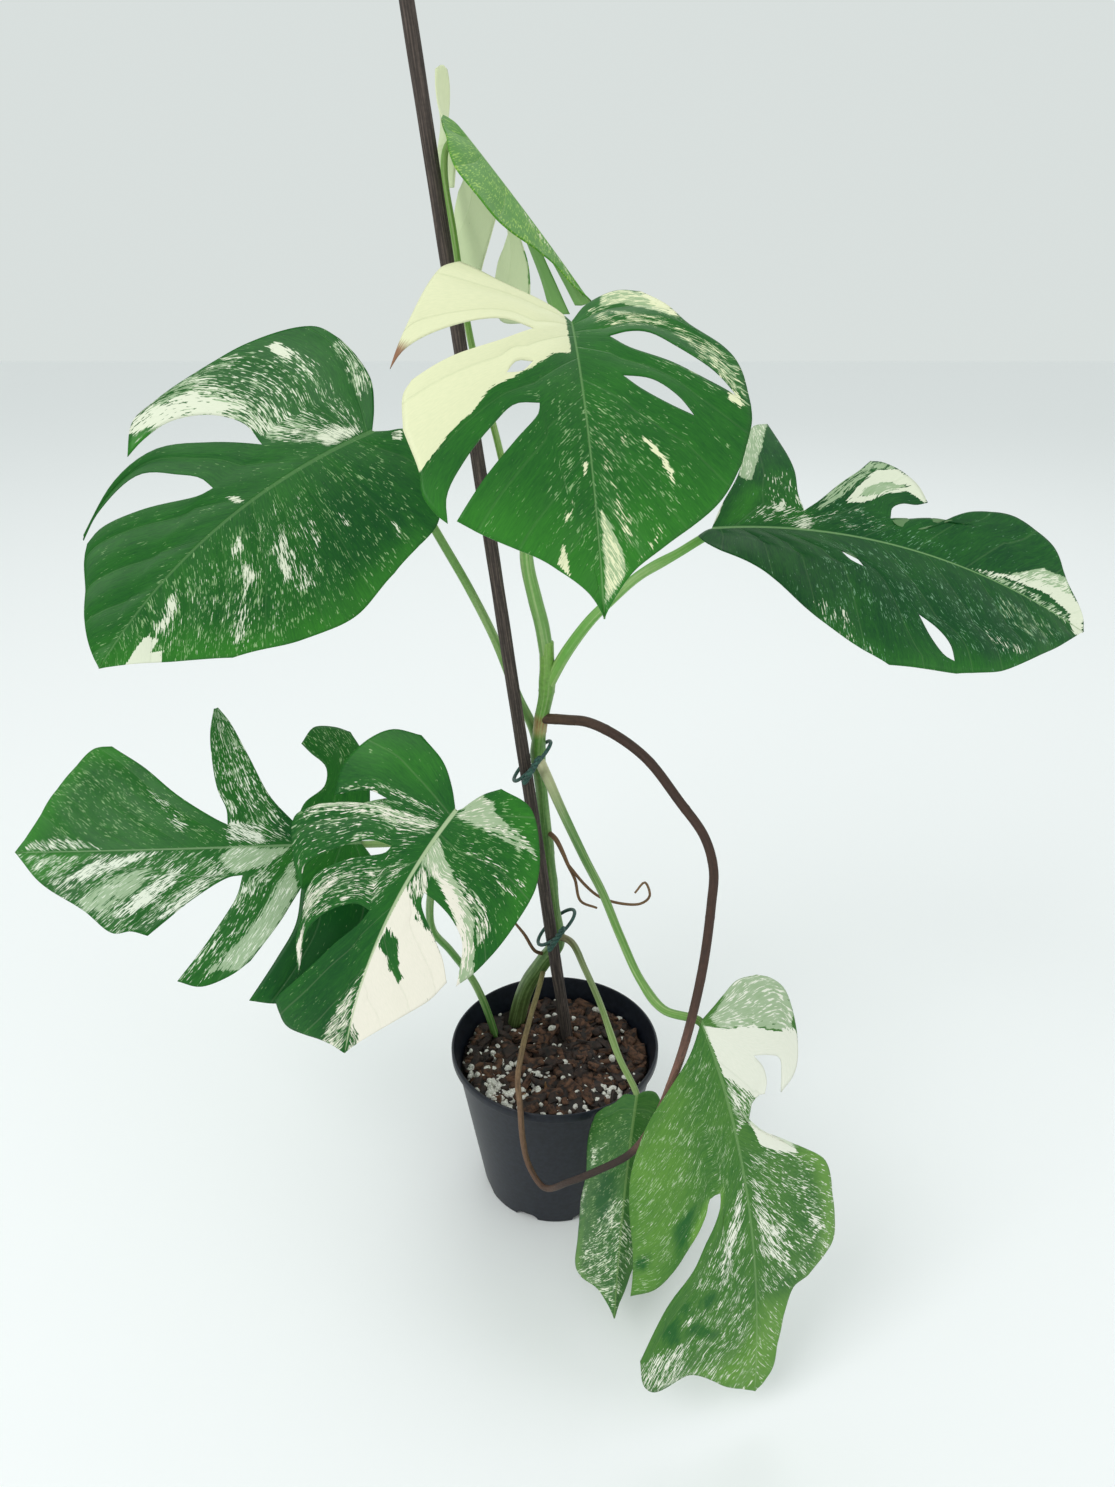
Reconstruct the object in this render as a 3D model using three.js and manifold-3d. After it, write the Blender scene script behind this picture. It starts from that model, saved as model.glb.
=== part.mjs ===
// A potted variegated monstera: nursery pot, potting mix, stake with two ties,
// a climbing stem, aerial roots and eight cut leaves.
// Millimetres, +Z up, origin at the centre of the pot's underside,
// +X to the viewer's right, +Y away from the viewer.
import * as THREE from "three";
import { mergeVertices } from "three/addons/utils/BufferGeometryUtils.js";
import Module from "manifold-3d";

const wasm = await Module();
wasm.setup();

// Pot.
const POT_HEIGHT = 123;
const RIM_RADIUS = 75;
const RIM_BAND = 7;
const BASE_RADIUS = 53.5;
const BODY_TOP_RADIUS = 71.8;
const WALL = 1.5;
const FLOOR = 2;
const POT_SIDES = 36;
const FOOT_NOTCHES = 8;
const NOTCH_WIDTH = 17;
const NOTCH_HEIGHT = 6;
const NOTCH_DEPTH = 8;
const DRAIN_HOLES = 4;
const DRAIN_RADIUS = 4.5;
const DRAIN_CIRCLE = 26;
const DRAIN_SIDES = 10;
const NOTCH_SIDES = 12;
const LIP_STEP = 0.8;
const MID_HEIGHT = 60;

// Potting mix.
const MIX_TOP = 104.5;
const MIX_GAP = 0.3;
const MIX_RELIEF = 1.4;
const MIX_EDGE_DROP = 1.5;
const MIX_RINGS = [60, 48, 36, 24, 12, 0];

// Stake.
const STAKE_Y = 24;
const STAKE_FOOT = [18.6, STAKE_Y, 31];
const STAKE_HEAD = [-75.1, STAKE_Y, 775];
const STAKE_RADIUS_FOOT = 4.5;
const STAKE_RADIUS_HEAD = 4;

// Round pieces: sides, and the distance between their rings.
const STEM_SIDES = 12;
const STEM_STEP = 22;
const STAKE_SIDES = 12;
const STAKE_STEP = 250;
const PETIOLE_SIDES = 7;
const PETIOLE_STEP = 18;
const LONG_ROOT_SIDES = 6;
const LONG_ROOT_STEP = 18;
const FINE_ROOT_SIDES = 5;
const FINE_ROOT_STEP = 10;

// Ties: loop, and the twisted end in front of it.
const LOOP_POINTS = 16;
const LOOP_STEPS = 32;
const TIE_SIDES = 6;
const TWIST = [[-7, -2.2, -8], [-3.5, -1.6, -4], [0, 0, 0], [4, -1.4, 4.6], [6, -4, 10]];
const TWIST_RADII = [0.8, 1.1, 1.3, 1.1, 0.8];
const TWIST_STEP = 20;

// Fits between pieces that grow from, or stand in, one another.
const CUT_GAP = 0.35;
const HOLE_GAP = 0.3;

// Leaves.
const HALF_THICKNESS = 0.4;
const RIB_GAP = 0.35;
const RIB_REACH = 0.7;
const RIB_STATIONS = [0.01, 0.06, 0.13, 0.22, 0.34, 0.46, 0.58, RIB_REACH];
const RIB_END_RADIUS = 0.5;
const RIB_WALK_STEPS = 96;
const COLUMN_WIDTH = 14;
const COLUMNS_MOST = 6;
const DEGREE = Math.PI / 180;

// A split is open to the margin, a hole is closed again before it, and a
// seam is only a vein between two lobes that are joined all the way out.
// Points are [along the midrib, out from it].
const split = (at, root, back, out) => ({ at, root, back, out });
const hole = (at, root, close, end, back, out) => ({ at, root, close, end, back, out });
const seam = (at, points, end) => ({ at, points, end });
const lobe = (margin, gap) => ({ margin, gap });

const LEAVES = {
  crown: {
    base: [9, -25, 612], length: 175, rows: 8,
    heading: [[0, -84], [175, -83]], slope: [[0, -25], [175, -61]],
    roll: [[0, 5], [175, 0]],
    rise: { left: [[0, 8]], right: [[0, 38], [175, 8]] },
    droop: { left: 0.25, right: 0.25 },
    right: {
      sinus: [[-3, 7], [-4, 14], [-4, 44], [-11, 62]],
      lobes: [
        lobe([[0, 72], [33, 85], [50, 91]],
          split(6, [23, 24], [[23, 39], [36, 67], [51, 88], [60, 94]],
            [[38, 42], [54, 67], [66, 84]])),
        lobe([[73, 88]],
          hole(21, [46, 26], [57, 40], [89, 88], [[48, 34]], [[54, 32]])),
        lobe([[108, 81], [118, 80], [127, 74]],
          split(42, [70, 24], [[73, 36], [85, 47], [102, 60], [119, 69], [131, 69]],
            [[76, 25], [92, 37], [111, 52], [130, 65]])),
        lobe([[139, 48], [151, 23], [164, 6]]),
      ],
    },
    left: {
      sinus: [[-14, 10], [-23, 27], [-21, 39]],
      lobes: [
        lobe([[-5, 50], [11, 58], [28, 74], [41, 80]],
          hole(13, [18, 17], [64, 75], [68, 81], [[16, 28], [18, 37], [29, 49], [46, 65]],
            [[29, 26], [42, 46], [55, 62]])),
        lobe([[78, 80]],
          hole(32, [48, 20], [76, 52], [101, 72], [[52, 34], [63, 45]],
            [[58, 28], [69, 41]])),
        lobe([[116, 63], [125, 55]], seam(91, [[120, 16]], [144, 29])),
        lobe([[154, 15], [168, 4]]),
      ],
    },
  },
  left: {
    base: [-103, 10, 552], length: 211, rows: 8,
    heading: [[0, -178], [211, -145]], slope: [[0, -22], [211, -51]],
    roll: [[0, -62], [211, -50]],
    rise: { left: [[0, -5]], right: [[0, 5]] },
    droop: { left: 0.25, right: 0.1 },
    right: {
      sinus: [[-6, 12], [-10, 27], [-7, 43], [-2, 55]],
      lobes: [
        lobe([[9, 70], [40, 79], [68, 80], [90, 81], [103, 80]],
          split(18, [58, 23], [[60, 38], [72, 54], [91, 66], [105, 67], [116, 65]],
            [[71, 34], [81, 42], [104, 58], [129, 60], [158, 51]])),
        lobe([],
          split(58, [93, 19], [[95, 28], [103, 38], [118, 53], [144, 54], [160, 49]],
            [[102, 21], [129, 37], [150, 46], [160, 46]])),
        lobe([[167, 42], [179, 31], [194, 20], [206, 8]]),
      ],
    },
    left: {
      sinus: [[-8, 3], [-18, 6], [-24, 14]],
      lobes: [
        lobe([[-24, 30], [-21, 48], [-15, 61]], seam(41, [[33, 40]], [26, 77])),
        lobe([[70, 87], [115, 78]], seam(87, [[113, 32]], [158, 57])),
        lobe([[183, 33], [199, 14]]),
      ],
    },
  },
  right: {
    base: [94, 20, 494], length: 238, rows: 8,
    heading: [[0, 3], [238, -13]], slope: [[0, 3], [238, -32]],
    roll: [[0, 30], [238, 35]],
    rise: { left: [[0, 10]], right: [[0, 10]] },
    droop: { left: 0.2, right: 0.2 },
    right: {
      sinus: [[-5, 3], [-9, 6]],
      lobes: [
        lobe([[-6, 12], [2, 21], [28, 41], [51, 67], [77, 83]],
          hole(41, [76, 16], [91, 27], [109, 93], [[82, 23]], [[85, 19]])),
        lobe([[133, 88]],
          hole(84, [126, 52], [157, 74], [160, 81], [[136, 65], [148, 73]],
            [[142, 58], [152, 65]])),
        lobe([[190, 66], [222, 28]]),
      ],
    },
    left: {
      sinus: [[7, 15], [20, 41], [28, 77]],
      lobes: [
        lobe([[34, 90]],
          split(26, [56, 14], [[53, 26], [52, 45], [46, 71], [41, 92]],
            [[65, 23], [78, 40], [88, 53], [95, 65]])),
        lobe([[101, 66], [112, 61], [122, 52]],
          split(74, [107, 19], [[108, 28], [114, 34], [122, 36], [128, 40]],
            [[111, 15], [118, 15], [127, 17], [133, 23]])),
        lobe([[155, 44], [178, 54], [201, 45], [218, 25], [233, 10]]),
      ],
    },
  },
  lowmid: {
    base: [-58, -60, 346], length: 169, rows: 8,
    heading: [[0, -152], [169, -147]], slope: [[0, -45], [169, -77]],
    roll: [[0, -45], [169, -35]],
    rise: { left: [[0, 0]], right: [[0, 7]] },
    droop: { left: 0.3, right: 0.13 },
    right: {
      sinus: [[-10, 11], [-18, 24], [-22, 44]],
      lobes: [
        lobe([[-14, 60], [0, 68], [18, 71]],
          split(8, [18, 37], [[20, 48], [27, 58], [33, 65]], [[25, 43], [31, 54], [41, 70]])),
        lobe([[54, 80], [68, 72], [78, 64]],
          split(25, [38, 19], [[42, 32], [58, 49], [73, 60], [85, 56]],
            [[43, 20], [58, 38], [74, 51], [86, 53]])),
        lobe([[97, 50], [114, 48]],
          split(46, [77, 12], [[77, 20], [82, 28], [92, 37], [106, 43], [132, 40]],
            [[86, 14], [105, 24], [128, 36], [152, 52]])),
        lobe([[165, 42], [167, 31], [166, 18], [167, 8]]),
      ],
    },
    left: {
      sinus: [[-3, 2], [-10, 4], [-18, 7], [-27, 13]],
      lobes: [
        lobe([[-29, 33], [-13, 53], [6, 65], [39, 68], [82, 61]],
          split(33, [51, 12], [[52, 22], [57, 35], [67, 46], [86, 52], [97, 54]],
            [[58, 14], [71, 28], [83, 40], [97, 48]])),
        lobe([[114, 42], [137, 25], [157, 9]]),
      ],
    },
  },
  lowleft: {
    base: [-128, 0, 289], length: 224, rows: 8,
    heading: [[0, -158], [224, -192]], slope: [[0, 10], [224, -8]],
    roll: [[0, -40]],
    rise: { left: [[0, 3]], right: [[0, 10]] },
    droop: { left: 0.25, right: 0.2 },
    right: {
      sinus: [[-6, 16], [-9, 37], [-9, 59], [-1, 82]],
      lobes: [
        lobe([[10, 86], [26, 85]],
          split(26, [42, 14], [[36, 28], [22, 40], [20, 54], [30, 65], [36, 72]],
            [[58, 33], [72, 61], [87, 89], [96, 100]])),
        lobe([],
          split(58, [85, 15], [[86, 25], [92, 38], [97, 59], [100, 80], [99, 99]],
            [[91, 18], [117, 35], [143, 56], [169, 72]])),
        lobe([[182, 70], [203, 39], [214, 18]]),
      ],
    },
    left: {
      sinus: [[-7, 13], [-12, 32], [-7, 52], [6, 74], [24, 91]],
      lobes: [
        lobe([[40, 98], [56, 100]],
          split(17, [40, 29], [[44, 52], [55, 72], [71, 97]], [[45, 37], [53, 50], [70, 73]])),
        lobe([[81, 81], [98, 87]],
          split(52, [75, 19], [[78, 32], [90, 53], [100, 68], [111, 83]],
            [[83, 20], [105, 34], [120, 47], [129, 55]])),
        lobe([[139, 52], [149, 53], [168, 39], [201, 20]]),
      ],
    },
  },
  lowright: {
    base: [82, -140, 257], length: 248, rows: 9,
    heading: [[0, -35], [248, -82]], slope: [[0, -64], [248, -84]],
    roll: [[0, 42], [248, 5]],
    rise: { left: [[0, -15]], right: [[0, -15], [120, 0], [248, 12]] },
    droop: { left: 0.25, right: 0.12 },
    right: {
      sinus: [[18, 13], [37, 32], [53, 47], [69, 57]],
      lobes: [
        lobe([[86, 64], [106, 68], [137, 70], [155, 72]],
          split(75, [105, 15], [[107, 21], [117, 25], [128, 31], [139, 39], [151, 48], [162, 60],
            [165, 74]], [[113, 16], [125, 21], [137, 28], [152, 36], [173, 52], [191, 62],
            [211, 71]])),
        lobe([[229, 69], [235, 62], [226, 41], [239, 19]]),
      ],
    },
    left: {
      sinus: [[-3, 9], [-6, 18], [-9, 30], [-5, 44]],
      lobes: [
        lobe([[2, 53], [13, 61], [30, 62], [44, 57], [56, 48]],
          split(5, [34, 24], [[38, 33], [44, 41], [53, 39], [62, 36]],
            [[43, 28], [52, 28], [58, 25]])),
        lobe([],
          split(43, [68, 9], [[62, 11], [59, 15], [57, 20]], [[76, 16], [83, 24], [95, 35]])),
        lobe([[102, 45], [114, 59], [139, 63], [151, 63], [166, 59]],
          seam(114, [[145, 15]], [179, 38])),
        lobe([[183, 25], [213, 16], [234, 11], [244, 5]]),
      ],
    },
  },
  front: {
    base: [52, -95, 160], length: 146, rows: 6,
    heading: [[0, -107], [146, -100]], slope: [[0, -57], [146, -77]],
    roll: [[0, 0]],
    rise: { left: [[0, -38]], right: [[0, -38]] },
    droop: { left: 0.4, right: 0.4 },
    right: {
      sinus: [[2, 11], [10, 20], [17, 32]],
      lobes: [
        lobe([[26, 44], [36, 48], [64, 44]], seam(34, [[61, 20]], [88, 48])),
        lobe([[117, 47], [138, 46], [139, 36], [135, 17], [140, 6]]),
      ],
    },
    left: {
      sinus: [[-3, 5], [-3, 13], [3, 19]],
      lobes: [
        lobe([[22, 27]], seam(34, [[55, 19]], [74, 31])),
        lobe([[97, 23], [112, 13], [128, 6]]),
      ],
    },
  },
  top: {
    base: [-49, 45, 703], length: 114, rows: 6,
    heading: [[0, -32], [114, -24]], slope: [[0, -44], [114, -50]],
    roll: [[0, -8]],
    rise: { left: [[-45, 18], [-10, -62], [113, -65]], right: [[0, 0]] },
    droop: { left: 0.05, right: 0.1 },
    right: {
      sinus: [[-6, 4], [-9, 9]],
      lobes: [
        lobe([[-4, 16], [10, 28], [22, 39], [36, 47]], seam(23, [[37, 20]], [50, 51])),
        lobe([[62, 51], [72, 43]], seam(52, [[66, 16]], [78, 35])),
        lobe([[84, 26], [92, 16], [104, 7]]),
      ],
    },
    left: {
      sinus: [[-8, 6], [-20, 9], [-34, 13], [-44, 18]],
      lobes: [
        lobe([[-46, 26], [-33, 33], [-15, 41], [0, 38]],
          split(3, [5, 12], [[4, 20], [8, 31]], [[11, 18], [12, 30]])),
        lobe([[16, 42], [23, 51], [36, 61]],
          split(18, [40, 7], [[42, 20], [45, 32], [49, 48], [54, 62]],
            [[51, 14], [55, 25], [57, 36], [62, 48]])),
        lobe([[70, 57], [81, 58]],
          split(33, [53, 8], [[60, 13], [72, 19], [82, 28], [94, 44]],
            [[64, 11], [78, 16], [95, 23]])),
        lobe([[103, 23]],
          split(52, [70, 5], [[78, 8], [94, 12], [110, 15]], [[81, 5], [96, 7], [109, 9]])),
        lobe([[112, 5]]),
      ],
    },
  },
};

// Petioles run from inside the stem, or the mix, to the blade's base.
const PETIOLES = {
  crown: {
    path: [[-5, 30, 410], [-8, 30, 430], [-12, 29, 447], [-17, 28, 473], [-16, 27, 498],
      [-11, 24, 528], [-4, 12, 563], [2, -6, 594]],
    radius: [4.6, 4.7, 4.6, 4.2, 3.4, 2.8, 2.6, 2.4],
  },
  left: {
    path: [[-11, 34, 345], [-15, 38, 357], [-24, 39, 377], [-38, 38, 417], [-53, 34, 452],
      [-72, 28, 491], [-88, 22, 525]],
    radius: [3.6, 3.4, 3.1, 2.9, 2.8, 2.7, 2.5],
  },
  right: {
    path: [[-5, 29, 388], [7, 27, 412], [22, 26, 434], [34, 25, 447], [52, 24, 464],
      [74, 22, 478]],
    radius: [4.0, 3.9, 3.5, 3.2, 3.0, 2.7],
  },
  lowmid: {
    path: [[-41, 30, 74], [-45, 27, 104], [-57, 10, 165], [-72, -5, 206], [-82, -15, 230],
      [-81, -25, 261], [-71, -40, 300]],
    radius: [2.6, 2.8, 2.7, 2.6, 2.6, 2.6, 2.5],
  },
  lowleft: {
    path: [[-5, 36, 264], [-20, 38, 271], [-40, 35, 277], [-72, 24, 280], [-104, 12, 282]],
    radius: [3.2, 3.0, 2.8, 2.7, 2.5],
  },
  lowright: {
    path: [[-10, 31, 334], [-4, 20, 325], [4, 8, 311], [20, -22, 289], [30, -44, 279],
      [40, -72, 266], [51, -100, 254], [63, -122, 250]],
    radius: [4.2, 4.2, 4.0, 3.7, 3.4, 3.1, 2.9, 2.7],
  },
  front: {
    path: [[1, 36, 190], [12, 24, 192], [21, 0, 187], [31, -30, 180], [42, -66, 166]],
    radius: [2.8, 2.6, 2.3, 2.2, 2.1],
  },
  top: {
    path: [[-17, 29, 474], [-26, 34, 508], [-34, 38, 543], [-48, 42, 598], [-56, 46, 655],
      [-60, 49, 684], [-58, 49, 696]],
    radius: [2.3, 2.2, 2.1, 2.0, 1.9, 1.8, 1.7],
  },
};

const STEM = {
  path: [[-34, 42, 70], [-29, 42, 109], [-21, 42, 140], [-9, 40, 163], [1, 38, 182],
    [-1, 36, 216], [-5, 36, 262], [-9, 35, 310], [-11, 33, 338], [-9, 30, 363],
    [-5, 30, 386], [-5, 30, 417]],
  radius: [6.2, 6.8, 6.4, 6.2, 5.8, 4.4, 4.6, 4.2, 5.0, 4.4, 5.2, 4.8],
};

const LONG_ROOT = {
  path: [[-8, 29, 366], [8, 18, 370], [21, 10, 372], [39, 0, 367], [58, -14, 357],
    [76, -36, 340], [90, -55, 326], [94, -72, 314], [91, -92, 302], [84, -122, 284],
    [76, -142, 259], [69, -141, 221], [59, -136, 178], [46, -131, 148], [27, -127, 130],
    [10, -121, 114], [-8, -101, 88], [-17, -91, 96], [-21, -84, 112], [-23, -72, 130],
    [-25, -56, 136], [-23, -34, 141], [-18, -8, 148], [-12, 16, 156], [-9, 30, 160]],
  radius: [3.6, 3.5, 3.4, 3.3, 3.2, 3.1, 3.0, 2.9, 2.8, 2.7, 2.6, 2.5, 2.4, 2.3, 2.3,
    2.2, 2.1, 2.1, 2.1, 2.1, 2.1, 2.1, 2.0, 2.0, 2.0],
};

const FINE_ROOTS = {
  upper: [
    { path: [[-4, 34, 277], [1, 26, 276], [6, 22, 267], [9, 20, 260], [14, 18, 249],
      [18, 14, 234], [29, 10, 231]], radius: [1.5, 1.4, 1.3, 1.2, 1.1, 1.0, 0.8] },
    { path: [[9, 20, 260], [21, 14, 247], [31, 10, 240], [45, 5, 238], [58, 0, 241],
      [64, -4, 250], [60, -6, 262], [54, -6, 254]],
    radius: [1.1, 1.1, 1.0, 1.0, 0.9, 0.9, 0.8, 0.7] },
  ],
  lower: [
    { path: [[-8, 40, 170], [-15, 31, 180], [-22, 28, 196], [-29, 26, 208]],
      radius: [1.5, 1.3, 1.2, 0.9] },
  ],
};

const TIES = {
  upper: { centre: [-15, 29, 335], across: 12.4, deep: 11.8, tilt: 1.1, radius: 0.9 },
  lower: { centre: [1, 30, 201], across: 13.2, deep: 12.9, tilt: 0.95, radius: 0.9 },
};

const COLOURS = {
  pot: [0x1c1d1e, 0.5],
  mix: [0x4a3526, 0.95],
  stake: [0x4b4038, 0.85],
  tie: [0x1f4a45, 0.6],
  stem: [0x6c8a47, 0.6],
  petiole: [0x6f9a49, 0.5],
  blade: [0x3f7a35, 0.4],
  root: [0x6a4c33, 0.75],
};

const root = new THREE.Group();

const material = (name) =>
  new THREE.MeshStandardMaterial({
    color: COLOURS[name][0],
    roughness: COLOURS[name][1],
    metalness: 0,
    flatShading: true,
  });

const vector = ([x, y, z = 0]) => new THREE.Vector3(x, y, z);

// Value at a station, from a list of [station, value] pairs.
function along(pairs, s) {
  if (s <= pairs[0][0]) return pairs[0][1];
  for (let i = 1; i < pairs.length; i += 1) {
    const [s0, a] = pairs[i - 1];
    const [s1, b] = pairs[i];
    if (s <= s1) return a + ((b - a) * (s - s0)) / (s1 - s0);
  }
  return pairs[pairs.length - 1][1];
}

// Curved surface of one leaf: a bent, twisted midrib with a half on each
// side that rises from it at an angle and droops outwards.
class LeafSurface {
  constructor(leaf) {
    this.leaf = leaf;
    this.steps = RIB_WALK_STEPS;
    this.points = [vector(leaf.base)];
    const step = leaf.length / this.steps;
    for (let i = 0; i < this.steps; i += 1) {
      const move = this.direction((i + 0.5) * step).multiplyScalar(step);
      this.points.push(this.points[i].clone().add(move));
    }
  }

  direction(s) {
    const station = Math.min(Math.max(s, 0), this.leaf.length);
    const azimuth = along(this.leaf.heading, station) * DEGREE;
    const slope = along(this.leaf.slope, station) * DEGREE;
    return new THREE.Vector3(
      Math.cos(slope) * Math.cos(azimuth),
      Math.cos(slope) * Math.sin(azimuth),
      Math.sin(slope),
    );
  }

  frame(s) {
    const tangent = this.direction(s);
    const up = new THREE.Vector3(0, 0, 1).addScaledVector(tangent, -tangent.z).normalize();
    const side = tangent.clone().cross(up);
    const roll = along(this.leaf.roll, s) * DEGREE;
    const normal = up.clone().multiplyScalar(Math.cos(roll)).addScaledVector(side, Math.sin(roll));
    const across = side.multiplyScalar(Math.cos(roll)).addScaledVector(up, -Math.sin(roll));
    return { tangent, normal, across };
  }

  midrib(s) {
    const x = (s / this.leaf.length) * this.steps;
    if (x <= 0) return this.points[0].clone().addScaledVector(this.direction(0), s);
    if (x >= this.steps) {
      const extra = s - this.leaf.length;
      return this.points[this.steps].clone().addScaledVector(this.direction(s), extra);
    }
    const i = Math.floor(x);
    return this.points[i].clone().lerp(this.points[i + 1], x - i);
  }

  // Point at station s and distance w out from the midrib on one side.
  point(s, w, side) {
    const { normal, across } = this.frame(s);
    const rise = along(this.leaf.rise[side], s) * DEGREE;
    const droop = this.leaf.droop[side] * DEGREE;
    const out = (Math.sin(rise) - Math.sin(rise - droop * w)) / droop;
    const lift = (Math.cos(rise - droop * w) - Math.cos(rise)) / droop;
    const sign = side === "right" ? 1 : -1;
    return this.midrib(s).addScaledVector(across, sign * out).addScaledVector(normal, lift);
  }

  // Centre of the rib that runs under the midrib.
  under(s, radius) {
    const { normal, across } = this.frame(s);
    const right = along(this.leaf.rise.right, s) * DEGREE;
    const left = along(this.leaf.rise.left, s) * DEGREE;
    const rightNormal = normal.clone().multiplyScalar(Math.cos(right));
    rightNormal.addScaledVector(across, -Math.sin(right));
    const leftNormal = normal.clone().multiplyScalar(Math.cos(left));
    leftNormal.addScaledVector(across, Math.sin(left));
    const half = Math.acos(Math.min(1, rightNormal.dot(leftNormal))) / 2;
    const away = rightNormal.add(leftNormal).normalize();
    let distance = radius + HALF_THICKNESS + RIB_GAP;
    if (right + left < 0) distance /= Math.cos(half);
    return this.midrib(s).addScaledVector(away, -distance);
  }
}

// Points spaced evenly along a smooth line through the given ones.
function spaced(points, count) {
  const distinct = points.map(vector);
  if (distinct.length === 2) {
    return Array.from({ length: count + 1 }, (_, i) =>
      distinct[0].clone().lerp(distinct[1], i / count));
  }
  const curve = new THREE.CatmullRomCurve3(distinct);
  curve.arcLengthDivisions = 400;
  return curve.getSpacedPoints(count);
}

function lineLength(points) {
  let total = 0;
  for (let i = 1; i < points.length; i += 1) {
    total += Math.hypot(points[i][0] - points[i - 1][0], points[i][1] - points[i - 1][1]);
  }
  return total;
}

// The two lines that a gap gives: the end of the lobe before it and the
// start of the lobe after it. They share their rows up to the gap.
function gapRails(gap, rows) {
  const foot = [gap.at, 0];
  if (gap.points) {
    const shared = spaced([foot, ...gap.points, gap.end], rows);
    return [shared, shared];
  }
  const inner = lineLength([foot, gap.root]);
  const middle = gap.close
    ? lineLength([gap.root, ...gap.back, gap.close])
    : lineLength([gap.root, ...gap.back]);
  const outer = gap.close ? lineLength([gap.close, gap.end]) : 0;
  const total = inner + middle + outer;
  const last = gap.close ? Math.max(1, Math.round((rows * outer) / total)) : 0;
  const first = Math.min(Math.max(1, Math.round((rows * inner) / total)), rows - last - 2);
  const start = spaced([foot, gap.root], first);
  return [gap.back, gap.out].map((edge) => {
    const open = gap.close ? [gap.root, ...edge, gap.close] : [gap.root, ...edge];
    const line = start.concat(spaced(open, rows - last - first).slice(1));
    return gap.close ? line.concat(spaced([gap.close, gap.end], last).slice(1)) : line;
  });
}

// Grid of one lobe between its two side lines, the midrib and the margin.
function lobeGrid(before, after, margin, rows, columns) {
  const corner = (p) => [p.x, p.y];
  const start = corner(before[rows]);
  const end = corner(after[rows]);
  const outer = spaced([start, ...margin, end], columns);
  const grid = [];
  for (let i = 0; i <= rows; i += 1) {
    const t = i / rows;
    const line = [];
    for (let j = 0; j <= columns; j += 1) {
      const u = j / columns;
      const inner = before[0].clone().lerp(after[0], u);
      const sides = before[i].clone().lerp(after[i], u);
      const ends = inner.clone().lerp(outer[j], t);
      const corners = inner.clone().lerp(before[rows].clone().lerp(after[rows], u), t);
      line.push(sides.add(ends).sub(corners));
    }
    grid.push(line);
  }
  return grid;
}

// All the lobe grids of one half of a leaf.
function halfGrids(half, length, rows) {
  let before = spaced([[0, 0], ...half.sinus], rows);
  return half.lobes.map(({ margin, gap }) => {
    const tip = new THREE.Vector3(length, 0, 0);
    const rails = gap ? gapRails(gap, rows) : [Array(rows + 1).fill(tip), null];
    const outer = [[before[rows].x, before[rows].y], ...margin, [rails[0][rows].x, rails[0][rows].y]];
    const inner = rails[0][0].x - before[0].x;
    const wide = Math.max(lineLength(outer), inner);
    const columns = Math.min(COLUMNS_MOST, Math.max(1, Math.round(wide / COLUMN_WIDTH)));
    const grid = lobeGrid(before, rails[0], margin, rows, columns);
    before = rails[1];
    return grid;
  });
}

// Collects triangles whose corners are shared by position.
class Sheet {
  constructor() {
    this.points = [];
    this.faces = [];
    this.index = new Map();
  }

  vertex(point) {
    const key = [point.x, point.y, point.z].map((v) => Math.round(v * 200)).join(",");
    if (!this.index.has(key)) {
      this.index.set(key, this.points.length);
      this.points.push(point);
    }
    return this.index.get(key);
  }

  face(a, b, c, flip) {
    const [i, j, k] = [a, b, c].map((p) => this.vertex(p));
    if (i === j || j === k || k === i) return;
    this.faces.push(flip ? [i, k, j] : [i, j, k]);
  }

  // Strip between two lines with different numbers of points.
  strip(near, far, flip) {
    let i = 0;
    let j = 0;
    while (i < near.length - 1 || j < far.length - 1) {
      const a = (i + 1) / (near.length - 1);
      const b = (j + 1) / (far.length - 1);
      if (j >= far.length - 1 || (i < near.length - 1 && a <= b)) {
        this.face(near[i], near[i + 1], far[j], flip);
        i += 1;
      } else {
        this.face(near[i], far[j + 1], far[j], flip);
        j += 1;
      }
    }
  }

  normals() {
    const sums = this.points.map(() => new THREE.Vector3());
    for (const [a, b, c] of this.faces) {
      const ab = this.points[b].clone().sub(this.points[a]);
      const ac = this.points[c].clone().sub(this.points[a]);
      const normal = ab.cross(ac);
      for (const i of [a, b, c]) sums[i].add(normal);
    }
    return sums.map((sum) => sum.normalize());
  }

  // Closed body of the given half thickness on both sides of the sheet.
  thicken(half) {
    const normals = this.normals();
    const count = this.points.length;
    const positions = [];
    for (const sign of [1, -1]) {
      this.points.forEach((p, i) => {
        positions.push(...p.clone().addScaledVector(normals[i], sign * half).toArray());
      });
    }
    const directed = new Set();
    for (const [a, b, c] of this.faces) {
      for (const [i, j] of [[a, b], [b, c], [c, a]]) directed.add(`${i},${j}`);
    }
    const indices = [];
    for (const [a, b, c] of this.faces) {
      indices.push(a, b, c, a + count, c + count, b + count);
      for (const [i, j] of [[a, b], [b, c], [c, a]]) {
        if (!directed.has(`${j},${i}`)) {
          indices.push(j, i, i + count, j, i + count, j + count);
        }
      }
    }
    return indexed(positions, indices);
  }
}

function indexed(positions, indices) {
  const geometry = new THREE.BufferGeometry();
  geometry.setAttribute("position", new THREE.Float32BufferAttribute(positions, 3));
  geometry.setIndex(indices);
  return geometry;
}

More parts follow.
